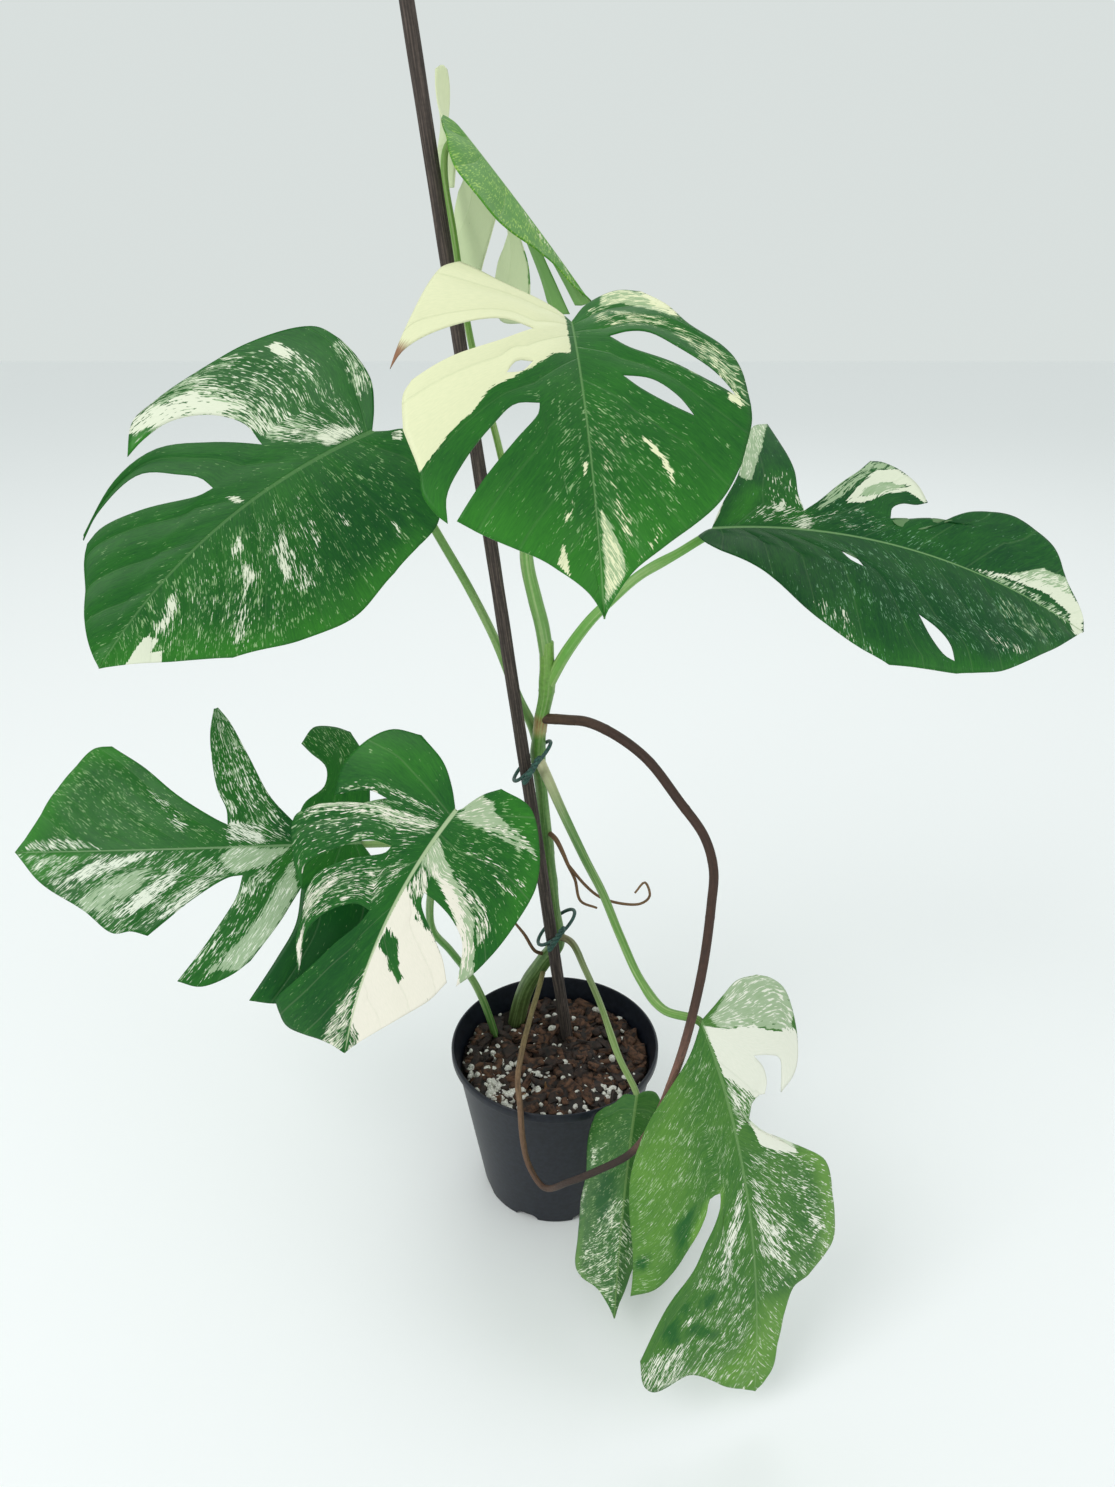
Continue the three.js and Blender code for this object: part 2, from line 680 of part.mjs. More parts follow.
// Leaf blade: both halves share the stations along the midrib.
function bladeGeometry(leaf) {
  const surface = new LeafSurface(leaf);
  const halves = ["right", "left"].map((side) => ({
    side,
    grids: halfGrids(leaf[side], leaf.length, leaf.rows),
  }));
  const stations = [];
  for (const { grids } of halves) {
    for (const grid of grids) {
      for (const p of grid[0]) {
        if (!stations.some((s) => Math.abs(s - p.x) < 2)) stations.push(p.x);
      }
    }
  }
  stations.sort((a, b) => a - b);
  const snap = (s) => stations.reduce((best, v) =>
    (Math.abs(v - s) < Math.abs(best - s) ? v : best));
  const sheet = new Sheet();
  for (const { side, grids } of halves) {
    const flip = side === "right";
    for (const grid of grids) {
      const solid = grid.map((line, i) => line.map((p) =>
        surface.point(i === 0 ? snap(p.x) : p.x, i === 0 ? 0 : Math.max(p.y, 0), side)));
      const first = snap(grid[0][0].x);
      const last = snap(grid[0][grid[0].length - 1].x);
      const rib = stations.filter((s) => s >= first && s <= last).map((s) => surface.midrib(s));
      sheet.strip(rib, solid[1], flip);
      for (let i = 1; i < solid.length - 1; i += 1) {
        for (let j = 0; j < solid[i].length - 1; j += 1) {
          const [a, b] = [solid[i][j], solid[i][j + 1]];
          const [c, d] = [solid[i + 1][j], solid[i + 1][j + 1]];
          sheet.face(a, b, c, flip);
          sheet.face(b, d, c, flip);
        }
      }
    }
  }
  return sheet.thicken(HALF_THICKNESS);
}

// Direction of each step of a line, and a side direction carried along it.
function carriedFrames(places) {
  const last = places.length - 1;
  const tangents = places.map((_, i) =>
    places[Math.min(i + 1, last)].clone().sub(places[Math.max(i - 1, 0)]).normalize());
  let normal = new THREE.Vector3(1, 0, 0);
  if (Math.abs(tangents[0].x) > 0.9) normal = new THREE.Vector3(0, 1, 0);
  return tangents.map((tangent) => {
    normal = normal.clone().addScaledVector(tangent, -normal.dot(tangent)).normalize();
    return { normal, binormal: tangent.clone().cross(normal) };
  });
}

// Round, tapering rod along a smooth path: a cylinder bent to it.
function rodGeometry(path, radii, sides, spacing) {
  const curve = new THREE.CatmullRomCurve3(path);
  const spans = path.length - 1;
  const places = [];
  const radius = [];
  for (let k = 0; k < spans; k += 1) {
    const parts = Math.max(1, Math.round(path[k].distanceTo(path[k + 1]) / spacing));
    for (let i = 0; i < parts; i += 1) {
      places.push(curve.getPoint((k + i / parts) / spans));
      radius.push(radii[k] + ((radii[k + 1] - radii[k]) * i) / parts);
    }
  }
  places.push(path[spans].clone());
  radius.push(radii[spans]);
  const rows = places.length - 1;
  const frames = carriedFrames(places);
  const geometry = new THREE.CylinderGeometry(1, 1, 1, sides, rows);
  const position = geometry.getAttribute("position");
  for (let i = 0; i < position.count; i += 1) {
    const row = Math.round((0.5 - position.getY(i)) * rows);
    const place = places[row].clone();
    place.addScaledVector(frames[row].normal, position.getX(i) * radius[row]);
    place.addScaledVector(frames[row].binormal, position.getZ(i) * radius[row]);
    position.setXYZ(i, place.x, place.y, place.z);
  }
  return geometry;
}

// Closed, welded copy with positions only.
function welded(geometry) {
  const plain = geometry.clone();
  for (const name of Object.keys(plain.attributes)) {
    if (name !== "position") plain.deleteAttribute(name);
  }
  return mergeVertices(plain, 1e-4);
}

function solid(geometry) {
  const plain = welded(geometry);
  const corners = Array.from(plain.index.array);
  const kept = [];
  for (let i = 0; i < corners.length; i += 3) {
    const [a, b, c] = corners.slice(i, i + 3);
    if (a !== b && b !== c && c !== a) kept.push(a, b, c);
  }
  return new wasm.Manifold(new wasm.Mesh({
    numProp: 3,
    vertProperties: new Float32Array(plain.attributes.position.array),
    triVerts: new Uint32Array(kept),
  }));
}

function meshGeometry(body) {
  const { vertProperties, triVerts } = body.getMesh();
  return indexed(Array.from(vertProperties), Array.from(triVerts));
}

function pathPoints(path) {
  return path.map(vector);
}

function add(name, geometry, finish) {
  const mesh = new THREE.Mesh(geometry, material(finish));
  mesh.name = name;
  root.add(mesh);
}

// Outer radius of the pot's body at a height.
function wallAt(z) {
  return BASE_RADIUS + ((BODY_TOP_RADIUS - BASE_RADIUS) / (POT_HEIGHT - RIM_BAND)) * z;
}

// Pot: tapered wall, banded rim, notched foot and drain holes.
function potGeometry() {
  const shoulder = POT_HEIGHT - RIM_BAND;
  const profile = [
    [0, 0], [BASE_RADIUS, 0], [wallAt(MID_HEIGHT), MID_HEIGHT], [BODY_TOP_RADIUS, shoulder],
    [RIM_RADIUS, shoulder + LIP_STEP], [RIM_RADIUS, POT_HEIGHT - 1],
    [RIM_RADIUS - LIP_STEP, POT_HEIGHT], [RIM_RADIUS - LIP_STEP - 1, POT_HEIGHT],
    [RIM_RADIUS - WALL - 0.7, POT_HEIGHT - 1.5], [wallAt(shoulder - 2) - WALL, shoulder - 2],
    [wallAt(MID_HEIGHT) - WALL, MID_HEIGHT], [wallAt(FLOOR) - WALL, FLOOR], [0, FLOOR],
  ].map(([r, z]) => new THREE.Vector2(r, z));
  let body = solid(new THREE.LatheGeometry(profile, POT_SIDES).rotateX(Math.PI / 2));
  for (let i = 0; i < FOOT_NOTCHES; i += 1) {
    const notch = new THREE.CylinderGeometry(1, 1, 1, NOTCH_SIDES).rotateZ(Math.PI / 2);
    notch.scale(2 * NOTCH_DEPTH, NOTCH_WIDTH / 2, NOTCH_HEIGHT);
    notch.translate(BASE_RADIUS, 0, 0).rotateZ(((i + 0.5) / FOOT_NOTCHES) * 2 * Math.PI);
    body = body.subtract(solid(notch));
  }
  for (let i = 0; i < DRAIN_HOLES; i += 1) {
    const drain = new THREE.CylinderGeometry(
      DRAIN_RADIUS, DRAIN_RADIUS, 4 * FLOOR, DRAIN_SIDES,
    );
    drain.rotateX(Math.PI / 2).translate(DRAIN_CIRCLE, 0, 0);
    drain.rotateZ((i / DRAIN_HOLES) * 2 * Math.PI);
    body = body.subtract(solid(drain));
  }
  return meshGeometry(body);
}

// Potting mix: fills the pot, with a lumpy top and holes for what stands in it.
function mixGeometry(standing) {
  const bottom = FLOOR + MIX_GAP;
  const side = [bottom, MID_HEIGHT, MIX_TOP - MIX_EDGE_DROP];
  const profile = [
    [0, bottom],
    ...side.map((z) => [wallAt(z) - WALL - MIX_GAP, z]),
    ...MIX_RINGS.map((r) => [r, MIX_TOP]),
  ].map(([r, z]) => new THREE.Vector2(r, z));
  const geometry = welded(new THREE.LatheGeometry(profile, POT_SIDES).rotateX(Math.PI / 2));
  const position = geometry.getAttribute("position");
  for (let i = 0; i < position.count; i += 1) {
    const [x, y, z] = [position.getX(i), position.getY(i), position.getZ(i)];
    if (z > MIX_TOP - 0.1) {
      const lump = Math.sin(x * 0.21 + 1.3) * Math.cos(y * 0.19) + Math.sin(x * 0.47 - y * 0.39);
      position.setZ(i, z + 0.5 * MIX_RELIEF * lump);
    }
  }
  return meshGeometry(standing.reduce((body, piece) => body.subtract(piece), solid(geometry)));
}

function petiolePath(name) {
  const leaf = LEAVES[name];
  const surface = new LeafSurface(leaf);
  const { path, radius } = PETIOLES[name];
  const points = pathPoints(path);
  const radii = [...radius];
  const start = radius[radius.length - 1];
  for (const part of RIB_STATIONS) {
    const width = start + ((RIB_END_RADIUS - start) * part) / RIB_REACH;
    points.push(surface.under(part * leaf.length, width));
    radii.push(width);
  }
  return { points, radii };
}

// Rod along a line, or the space round it when extra is given.
function rod({ points, radii }, sides, spacing, extra = 0) {
  const line = points.map((p) => p.clone());
  const start = line[0].clone().sub(line[1]).normalize();
  const end = line[line.length - 1].clone().sub(line[line.length - 2]).normalize();
  line[0].addScaledVector(start, extra);
  line[line.length - 1].addScaledVector(end, extra);
  return rodGeometry(line, radii.map((r) => r + extra), sides, spacing);
}

// Tie: an oval loop round the stake and the stem, with a twisted end.
function tieGeometry({ centre, across, deep, tilt, radius }) {
  const turn = (angle) => new THREE.Vector3(
    centre[0] + across * Math.cos(angle),
    centre[1] + deep * Math.sin(angle),
    centre[2] + tilt * across * Math.cos(angle),
  );
  const loop = new THREE.CatmullRomCurve3(
    Array.from({ length: LOOP_POINTS }, (_, i) => turn((i / LOOP_POINTS) * 2 * Math.PI)),
    true,
  );
  const ring = new THREE.TubeGeometry(loop, LOOP_STEPS, radius, TIE_SIDES, true);
  const near = turn(-0.5 * Math.PI);
  const ends = rodGeometry(
    TWIST.map((step) => near.clone().add(vector(step))), TWIST_RADII, TIE_SIDES, TWIST_STEP,
  );
  return meshGeometry(solid(ring).add(solid(ends)));
}

const stemLine = { points: pathPoints(STEM.path), radii: STEM.radius };
const stakeLine = {
  points: [vector(STAKE_FOOT), vector(STAKE_HEAD)],
  radii: [STAKE_RADIUS_FOOT, STAKE_RADIUS_HEAD],
};
const petioleLines = Object.fromEntries(
  Object.keys(PETIOLES).map((name) => [name, petiolePath(name)]),
);

const stemCutter = solid(rod(stemLine, STEM_SIDES, STEM_STEP, CUT_GAP));
const crownCutter = solid(rod(petioleLines.crown, PETIOLE_SIDES + 2, PETIOLE_STEP, CUT_GAP));

add("pot", potGeometry(), "pot");
add("potting_mix", mixGeometry([
  solid(rod(stemLine, STEM_SIDES, STEM_STEP, HOLE_GAP)),
  solid(rod(stakeLine, STAKE_SIDES, STAKE_STEP, HOLE_GAP)),
  solid(rod(petioleLines.lowmid, PETIOLE_SIDES, PETIOLE_STEP, HOLE_GAP)),
]), "mix");
add("stake", rod(stakeLine, STAKE_SIDES, STAKE_STEP), "stake");
add("main_stem", rod(stemLine, STEM_SIDES, STEM_STEP), "stem");
add("tie_upper", tieGeometry(TIES.upper), "tie");
add("tie_lower", tieGeometry(TIES.lower), "tie");

for (const name of Object.keys(LEAVES)) {
  let stalk = solid(rod(petioleLines[name], PETIOLE_SIDES, PETIOLE_STEP));
  if (name !== "lowmid" && name !== "top") stalk = stalk.subtract(stemCutter);
  if (name === "top") stalk = stalk.subtract(crownCutter);
  add(`petiole_${name}`, meshGeometry(stalk), "petiole");
  add(`blade_${name}`, bladeGeometry(LEAVES[name]), "blade");
}

const rootLine = { points: pathPoints(LONG_ROOT.path), radii: LONG_ROOT.radius };
const longRoot = solid(rod(rootLine, LONG_ROOT_SIDES, LONG_ROOT_STEP)).subtract(stemCutter);
add("long_aerial_root", meshGeometry(longRoot), "root");

for (const [name, strands] of Object.entries(FINE_ROOTS)) {
  const bodies = strands.map(({ path, radius }) =>
    solid(rod({ points: pathPoints(path), radii: radius }, FINE_ROOT_SIDES, FINE_ROOT_STEP)));
  const joined = bodies.reduce((body, piece) => body.add(piece)).subtract(stemCutter);
  add(`fine_roots_${name}`, meshGeometry(joined), "root");
}

export default root;
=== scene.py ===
import logging
import math
import random
from dataclasses import dataclass, field
from enum import Enum
from typing import Callable

import bmesh
import bpy
import numpy as np
from mathutils import Matrix, Vector


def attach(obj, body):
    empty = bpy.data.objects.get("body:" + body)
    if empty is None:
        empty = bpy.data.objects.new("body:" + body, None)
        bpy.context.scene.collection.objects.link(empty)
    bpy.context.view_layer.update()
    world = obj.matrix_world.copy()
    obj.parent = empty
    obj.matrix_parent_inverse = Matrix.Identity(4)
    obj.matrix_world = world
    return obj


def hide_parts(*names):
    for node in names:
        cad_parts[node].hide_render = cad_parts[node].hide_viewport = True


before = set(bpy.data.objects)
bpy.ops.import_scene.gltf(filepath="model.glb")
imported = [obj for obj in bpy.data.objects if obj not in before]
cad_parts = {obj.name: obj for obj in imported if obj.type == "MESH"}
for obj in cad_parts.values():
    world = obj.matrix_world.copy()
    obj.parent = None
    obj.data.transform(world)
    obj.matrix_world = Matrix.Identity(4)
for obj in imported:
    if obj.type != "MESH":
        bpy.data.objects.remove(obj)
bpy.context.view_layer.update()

Points = list[list[float]]
Socket = bpy.types.NodeSocket
Tree = bpy.types.NodeTree

MM = 0.001
BODY = "root"
WELD = 2e-6
DEGREE = math.pi / 180
MEASURING_STEPS = 400
log = logging.getLogger("monstera")


class Side(Enum):
    """Halves of a leaf, seen from its base towards its tip."""

    RIGHT = "right"
    LEFT = "left"

    @property
    def sign(self) -> int:
        """Sign of the outward distance on this half."""
        return 1 if self is Side.RIGHT else -1


class Tint(Enum):
    """What a marking changes; each is a channel of the blade's own attributes."""

    CREAM = 0
    MINT = 1
    FLECK = 2
    FRESH = 3
    DRY = 4


CREAM, MINT, FLECK, FRESH, DRY = Tint


@dataclass(frozen=True)
class Split:
    """Gap open to the margin: its root, then its near and far edges."""

    at: float
    root: list[float]
    back: Points
    out: Points


@dataclass(frozen=True)
class Hole:
    """Gap closed again before the margin."""

    at: float
    root: list[float]
    close: list[float]
    end: list[float]
    back: Points
    out: Points


@dataclass(frozen=True)
class Seam:
    """Vein between two lobes that are joined out to the margin."""

    at: float
    points: Points
    end: list[float]


@dataclass(frozen=True)
class Lobe:
    """Margin of one lobe and the gap that ends it."""

    margin: Points
    gap: Split | Hole | Seam | None = None


@dataclass(frozen=True)
class Half:
    """Basal edge and lobes of one half, as [along the midrib, out from it]."""

    sinus: Points
    lobes: list[Lobe]


@dataclass(frozen=True)
class Form:
    """Shape of one leaf; lists of [station, degrees] turn it along its midrib."""

    base: list[float]
    length: float
    heading: Points
    slope: Points
    roll: Points
    rise: dict[str, Points]
    droop: dict[str, float]
    right: Half
    left: Half


@dataclass(frozen=True)
class Rod:
    """Centre line and radii of something round and long."""

    path: Points
    radius: list[float]


@dataclass(frozen=True)
class Mark:
    """Marked area of a leaf: what it holds, how soft its edge is, and its outline.

    The outline's points are [along the midrib, out from it], negative on the left.
    """

    cover: dict[Tint, float]
    soft: float
    outline: Points


# Shape of each leaf.
LEAVES: dict[str, Form] = {}
LEAVES["crown"] = Form(
    base=[9, -25, 612], length=175,
    heading=[[0, -84], [175, -83]], slope=[[0, -25], [175, -61]],
    roll=[[0, 5], [175, 0]],
    rise={"left": [[0, 8]], "right": [[0, 38], [175, 8]]},
    droop={"left": 0.25, "right": 0.25},
    right=Half(
        sinus=[[-3, 7], [-4, 14], [-4, 44], [-11, 62]],
        lobes=[
            Lobe([[0, 72], [33, 85], [50, 91]],
                Split(6, [23, 24], [[23, 39], [36, 67], [51, 88], [60, 94]],
                    [[38, 42], [54, 67], [66, 84]])),
            Lobe([[73, 88]],
                Hole(21, [46, 26], [57, 40], [89, 88], [[48, 34]], [[54, 32]])),
            Lobe([[108, 81], [118, 80], [127, 74]],
                Split(42, [70, 24], [[73, 36], [85, 47], [102, 60], [119, 69], [131, 69]],
                    [[76, 25], [92, 37], [111, 52], [130, 65]])),
            Lobe([[139, 48], [151, 23], [164, 6]]),
        ],
    ),
    left=Half(
        sinus=[[-14, 10], [-23, 27], [-21, 39]],
        lobes=[
            Lobe([[-5, 50], [11, 58], [28, 74], [41, 80]],
                Hole(13, [18, 17], [64, 75], [68, 81], [[16, 28], [18, 37], [29, 49], [46, 65]],
                    [[29, 26], [42, 46], [55, 62]])),
            Lobe([[78, 80]],
                Hole(32, [48, 20], [76, 52], [101, 72], [[52, 34], [63, 45]],
                    [[58, 28], [69, 41]])),
            Lobe([[116, 63], [125, 55]], Seam(91, [[120, 16]], [144, 29])),
            Lobe([[154, 15], [168, 4]]),
        ],
    ),
)
LEAVES["left"] = Form(
    base=[-103, 10, 552], length=211,
    heading=[[0, -178], [211, -145]], slope=[[0, -22], [211, -51]],
    roll=[[0, -62], [211, -50]],
    rise={"left": [[0, -5]], "right": [[0, 5]]},
    droop={"left": 0.25, "right": 0.1},
    right=Half(
        sinus=[[-6, 12], [-10, 27], [-7, 43], [-2, 55]],
        lobes=[
            Lobe([[9, 70], [40, 79], [68, 80], [90, 81], [103, 80]],
                Split(18, [58, 23], [[60, 38], [72, 54], [91, 66], [105, 67], [116, 65]],
                    [[71, 34], [81, 42], [104, 58], [129, 60], [158, 51]])),
            Lobe([],
                Split(58, [93, 19], [[95, 28], [103, 38], [118, 53], [144, 54], [160, 49]],
                    [[102, 21], [129, 37], [150, 46], [160, 46]])),
            Lobe([[167, 42], [179, 31], [194, 20], [206, 8]]),
        ],
    ),
    left=Half(
        sinus=[[-8, 3], [-18, 6], [-24, 14]],
        lobes=[
            Lobe([[-24, 30], [-21, 48], [-15, 61]], Seam(41, [[33, 40]], [26, 77])),
            Lobe([[70, 87], [115, 78]], Seam(87, [[113, 32]], [158, 57])),
            Lobe([[183, 33], [199, 14]]),
        ],
    ),
)
LEAVES["right"] = Form(
    base=[94, 20, 494], length=238,
    heading=[[0, 3], [238, -13]], slope=[[0, 3], [238, -32]],
    roll=[[0, 30], [238, 35]],
    rise={"left": [[0, 10]], "right": [[0, 10]]},
    droop={"left": 0.2, "right": 0.2},
    right=Half(
        sinus=[[-5, 3], [-9, 6]],
        lobes=[
            Lobe([[-6, 12], [2, 21], [28, 41], [51, 67], [77, 83]],
                Hole(41, [76, 16], [91, 27], [109, 93], [[82, 23]], [[85, 19]])),
            Lobe([[133, 88]],
                Hole(84, [126, 52], [157, 74], [160, 81], [[136, 65], [148, 73]],
                    [[142, 58], [152, 65]])),
            Lobe([[190, 66], [222, 28]]),
        ],
    ),
    left=Half(
        sinus=[[7, 15], [20, 41], [28, 77]],
        lobes=[
            Lobe([[34, 90]],
                Split(26, [56, 14], [[53, 26], [52, 45], [46, 71], [41, 92]],
                    [[65, 23], [78, 40], [88, 53], [95, 65]])),
            Lobe([[101, 66], [112, 61], [122, 52]],
                Split(74, [107, 19], [[108, 28], [114, 34], [122, 36], [128, 40]],
                    [[111, 15], [118, 15], [127, 17], [133, 23]])),
            Lobe([[155, 44], [178, 54], [201, 45], [218, 25], [233, 10]]),
        ],
    ),
)
LEAVES["lowmid"] = Form(
    base=[-58, -60, 346], length=169,
    heading=[[0, -152], [169, -147]], slope=[[0, -45], [169, -77]],
    roll=[[0, -45], [169, -35]],
    rise={"left": [[0, 0]], "right": [[0, 7]]},
    droop={"left": 0.3, "right": 0.13},
    right=Half(
        sinus=[[-10, 11], [-18, 24], [-22, 44]],
        lobes=[
            Lobe([[-14, 60], [0, 68], [18, 71]],
                Split(8, [18, 37], [[20, 48], [27, 58], [33, 65]], [[25, 43], [31, 54], [41, 70]])),
            Lobe([[54, 80], [68, 72], [78, 64]],
                Split(25, [38, 19], [[42, 32], [58, 49], [73, 60], [85, 56]],
                    [[43, 20], [58, 38], [74, 51], [86, 53]])),
            Lobe([[97, 50], [114, 48]],
                Split(46, [77, 12], [[77, 20], [82, 28], [92, 37], [106, 43], [132, 40]],
                    [[86, 14], [105, 24], [128, 36], [152, 52]])),
            Lobe([[165, 42], [167, 31], [166, 18], [167, 8]]),
        ],
    ),
    left=Half(
        sinus=[[-3, 2], [-10, 4], [-18, 7], [-27, 13]],
        lobes=[
            Lobe([[-29, 33], [-13, 53], [6, 65], [39, 68], [82, 61]],
                Split(33, [51, 12], [[52, 22], [57, 35], [67, 46], [86, 52], [97, 54]],
                    [[58, 14], [71, 28], [83, 40], [97, 48]])),
            Lobe([[114, 42], [137, 25], [157, 9]]),
        ],
    ),
)
LEAVES["lowleft"] = Form(
    base=[-128, 0, 289], length=224,
    heading=[[0, -158], [224, -192]], slope=[[0, 10], [224, -8]],
    roll=[[0, -40]],
    rise={"left": [[0, 3]], "right": [[0, 10]]},
    droop={"left": 0.25, "right": 0.2},
    right=Half(
        sinus=[[-6, 16], [-9, 37], [-9, 59], [-1, 82]],
        lobes=[
            Lobe([[10, 86], [26, 85]],
                Split(26, [42, 14], [[36, 28], [22, 40], [20, 54], [30, 65], [36, 72]],
                    [[58, 33], [72, 61], [87, 89], [96, 100]])),
            Lobe([],
                Split(58, [85, 15], [[86, 25], [92, 38], [97, 59], [100, 80], [99, 99]],
                    [[91, 18], [117, 35], [143, 56], [169, 72]])),
            Lobe([[182, 70], [203, 39], [214, 18]]),
        ],
    ),
    left=Half(
        sinus=[[-7, 13], [-12, 32], [-7, 52], [6, 74], [24, 91]],
        lobes=[
            Lobe([[40, 98], [56, 100]],
                Split(17, [40, 29], [[44, 52], [55, 72], [71, 97]], [[45, 37], [53, 50], [70, 73]])),
            Lobe([[81, 81], [98, 87]],
                Split(52, [75, 19], [[78, 32], [90, 53], [100, 68], [111, 83]],
                    [[83, 20], [105, 34], [120, 47], [129, 55]])),
            Lobe([[139, 52], [149, 53], [168, 39], [201, 20]]),
        ],
    ),
)
LEAVES["lowright"] = Form(
    base=[82, -140, 257], length=248,
    heading=[[0, -35], [248, -82]], slope=[[0, -64], [248, -84]],
    roll=[[0, 42], [248, 5]],
    rise={"left": [[0, -15]], "right": [[0, -15], [120, 0], [248, 12]]},
    droop={"left": 0.25, "right": 0.12},
    right=Half(
        sinus=[[18, 13], [37, 32], [53, 47], [69, 57]],
        lobes=[
            Lobe([[86, 64], [106, 68], [137, 70], [155, 72]],
                Split(75, [105, 15], [[107, 21], [117, 25], [128, 31], [139, 39], [151, 48], [162, 60],
                    [165, 74]], [[113, 16], [125, 21], [137, 28], [152, 36], [173, 52], [191, 62],
                    [211, 71]])),
            Lobe([[229, 69], [235, 62], [226, 41], [239, 19]]),
        ],
    ),
    left=Half(
        sinus=[[-3, 9], [-6, 18], [-9, 30], [-5, 44]],
        lobes=[
            Lobe([[2, 53], [13, 61], [30, 62], [44, 57], [56, 48]],
                Split(5, [34, 24], [[38, 33], [44, 41], [53, 39], [62, 36]],
                    [[43, 28], [52, 28], [58, 25]])),
            Lobe([],
                Split(43, [68, 9], [[62, 11], [59, 15], [57, 20]], [[76, 16], [83, 24], [95, 35]])),
            Lobe([[102, 45], [114, 59], [139, 63], [151, 63], [166, 59]],
                Seam(114, [[145, 15]], [179, 38])),
            Lobe([[183, 25], [213, 16], [234, 11], [244, 5]]),
        ],
    ),
)
LEAVES["front"] = Form(
    base=[52, -95, 160], length=146,
    heading=[[0, -107], [146, -100]], slope=[[0, -57], [146, -77]],
    roll=[[0, 0]],
    rise={"left": [[0, -38]], "right": [[0, -38]]},
    droop={"left": 0.4, "right": 0.4},
    right=Half(
        sinus=[[2, 11], [10, 20], [17, 32]],
        lobes=[
            Lobe([[26, 44], [36, 48], [64, 44]], Seam(34, [[61, 20]], [88, 48])),
            Lobe([[117, 47], [138, 46], [139, 36], [135, 17], [140, 6]]),
        ],
    ),
    left=Half(
        sinus=[[-3, 5], [-3, 13], [3, 19]],
        lobes=[
            Lobe([[22, 27]], Seam(34, [[55, 19]], [74, 31])),
            Lobe([[97, 23], [112, 13], [128, 6]]),
        ],
    ),
)
LEAVES["top"] = Form(
    base=[-49, 45, 703], length=114,
    heading=[[0, -32], [114, -24]], slope=[[0, -44], [114, -50]],
    roll=[[0, -8]],
    rise={"left": [[-45, 18], [-10, -62], [113, -65]], "right": [[0, 0]]},
    droop={"left": 0.05, "right": 0.1},
    right=Half(
        sinus=[[-6, 4], [-9, 9]],
        lobes=[
            Lobe([[-4, 16], [10, 28], [22, 39], [36, 47]], Seam(23, [[37, 20]], [50, 51])),
            Lobe([[62, 51], [72, 43]], Seam(52, [[66, 16]], [78, 35])),
            Lobe([[84, 26], [92, 16], [104, 7]]),
        ],
    ),
    left=Half(
        sinus=[[-8, 6], [-20, 9], [-34, 13], [-44, 18]],
        lobes=[
            Lobe([[-46, 26], [-33, 33], [-15, 41], [0, 38]],
                Split(3, [5, 12], [[4, 20], [8, 31]], [[11, 18], [12, 30]])),
            Lobe([[16, 42], [23, 51], [36, 61]],
                Split(18, [40, 7], [[42, 20], [45, 32], [49, 48], [54, 62]],
                    [[51, 14], [55, 25], [57, 36], [62, 48]])),
            Lobe([[70, 57], [81, 58]],
                Split(33, [53, 8], [[60, 13], [72, 19], [82, 28], [94, 44]],
                    [[64, 11], [78, 16], [95, 23]])),
            Lobe([[103, 23]],
                Split(52, [70, 5], [[78, 8], [94, 12], [110, 15]], [[81, 5], [96, 7], [109, 9]])),
            Lobe([[112, 5]]),
        ],
    ),
)

PETIOLES: dict[str, Rod] = {
    "crown": Rod(
        path=[[-5, 30, 410], [-8, 30, 430], [-12, 29, 447], [-17, 28, 473], [-16, 27, 498],
            [-11, 24, 528], [-4, 12, 563], [2, -6, 594]],
        radius=[4.6, 4.7, 4.6, 4.2, 3.4, 2.8, 2.6, 2.4],
    ),
    "left": Rod(
        path=[[-11, 34, 345], [-15, 38, 357], [-24, 39, 377], [-38, 38, 417], [-53, 34, 452],
            [-72, 28, 491], [-88, 22, 525]],
        radius=[3.6, 3.4, 3.1, 2.9, 2.8, 2.7, 2.5],
    ),
    "right": Rod(
        path=[[-5, 29, 388], [7, 27, 412], [22, 26, 434], [34, 25, 447], [52, 24, 464],
            [74, 22, 478]],
        radius=[4.0, 3.9, 3.5, 3.2, 3.0, 2.7],
    ),
    "lowmid": Rod(
        path=[[-41, 30, 74], [-45, 27, 104], [-57, 10, 165], [-72, -5, 206], [-82, -15, 230],
            [-81, -25, 261], [-71, -40, 300]],
        radius=[2.6, 2.8, 2.7, 2.6, 2.6, 2.6, 2.5],
    ),
    "lowleft": Rod(
        path=[[-5, 36, 264], [-20, 38, 271], [-40, 35, 277], [-72, 24, 280], [-104, 12, 282]],
        radius=[3.2, 3.0, 2.8, 2.7, 2.5],
    ),
    "lowright": Rod(
        path=[[-10, 31, 334], [-4, 20, 325], [4, 8, 311], [20, -22, 289], [30, -44, 279],
            [40, -72, 266], [51, -100, 254], [63, -122, 250]],
        radius=[3.7, 3.5, 3.2, 2.9, 2.7, 2.6, 2.5, 2.5],
    ),
    "front": Rod(
        path=[[1, 36, 190], [12, 24, 192], [21, 0, 187], [31, -30, 180], [42, -66, 166]],
        radius=[2.8, 2.6, 2.3, 2.2, 2.1],
    ),
    "top": Rod(
        path=[[-17, 29, 474], [-26, 34, 508], [-34, 38, 543], [-48, 42, 598], [-56, 46, 655],
            [-60, 49, 684], [-58, 49, 696]],
        radius=[2.3, 2.2, 2.1, 2.0, 1.9, 1.8, 1.7],
    ),
}
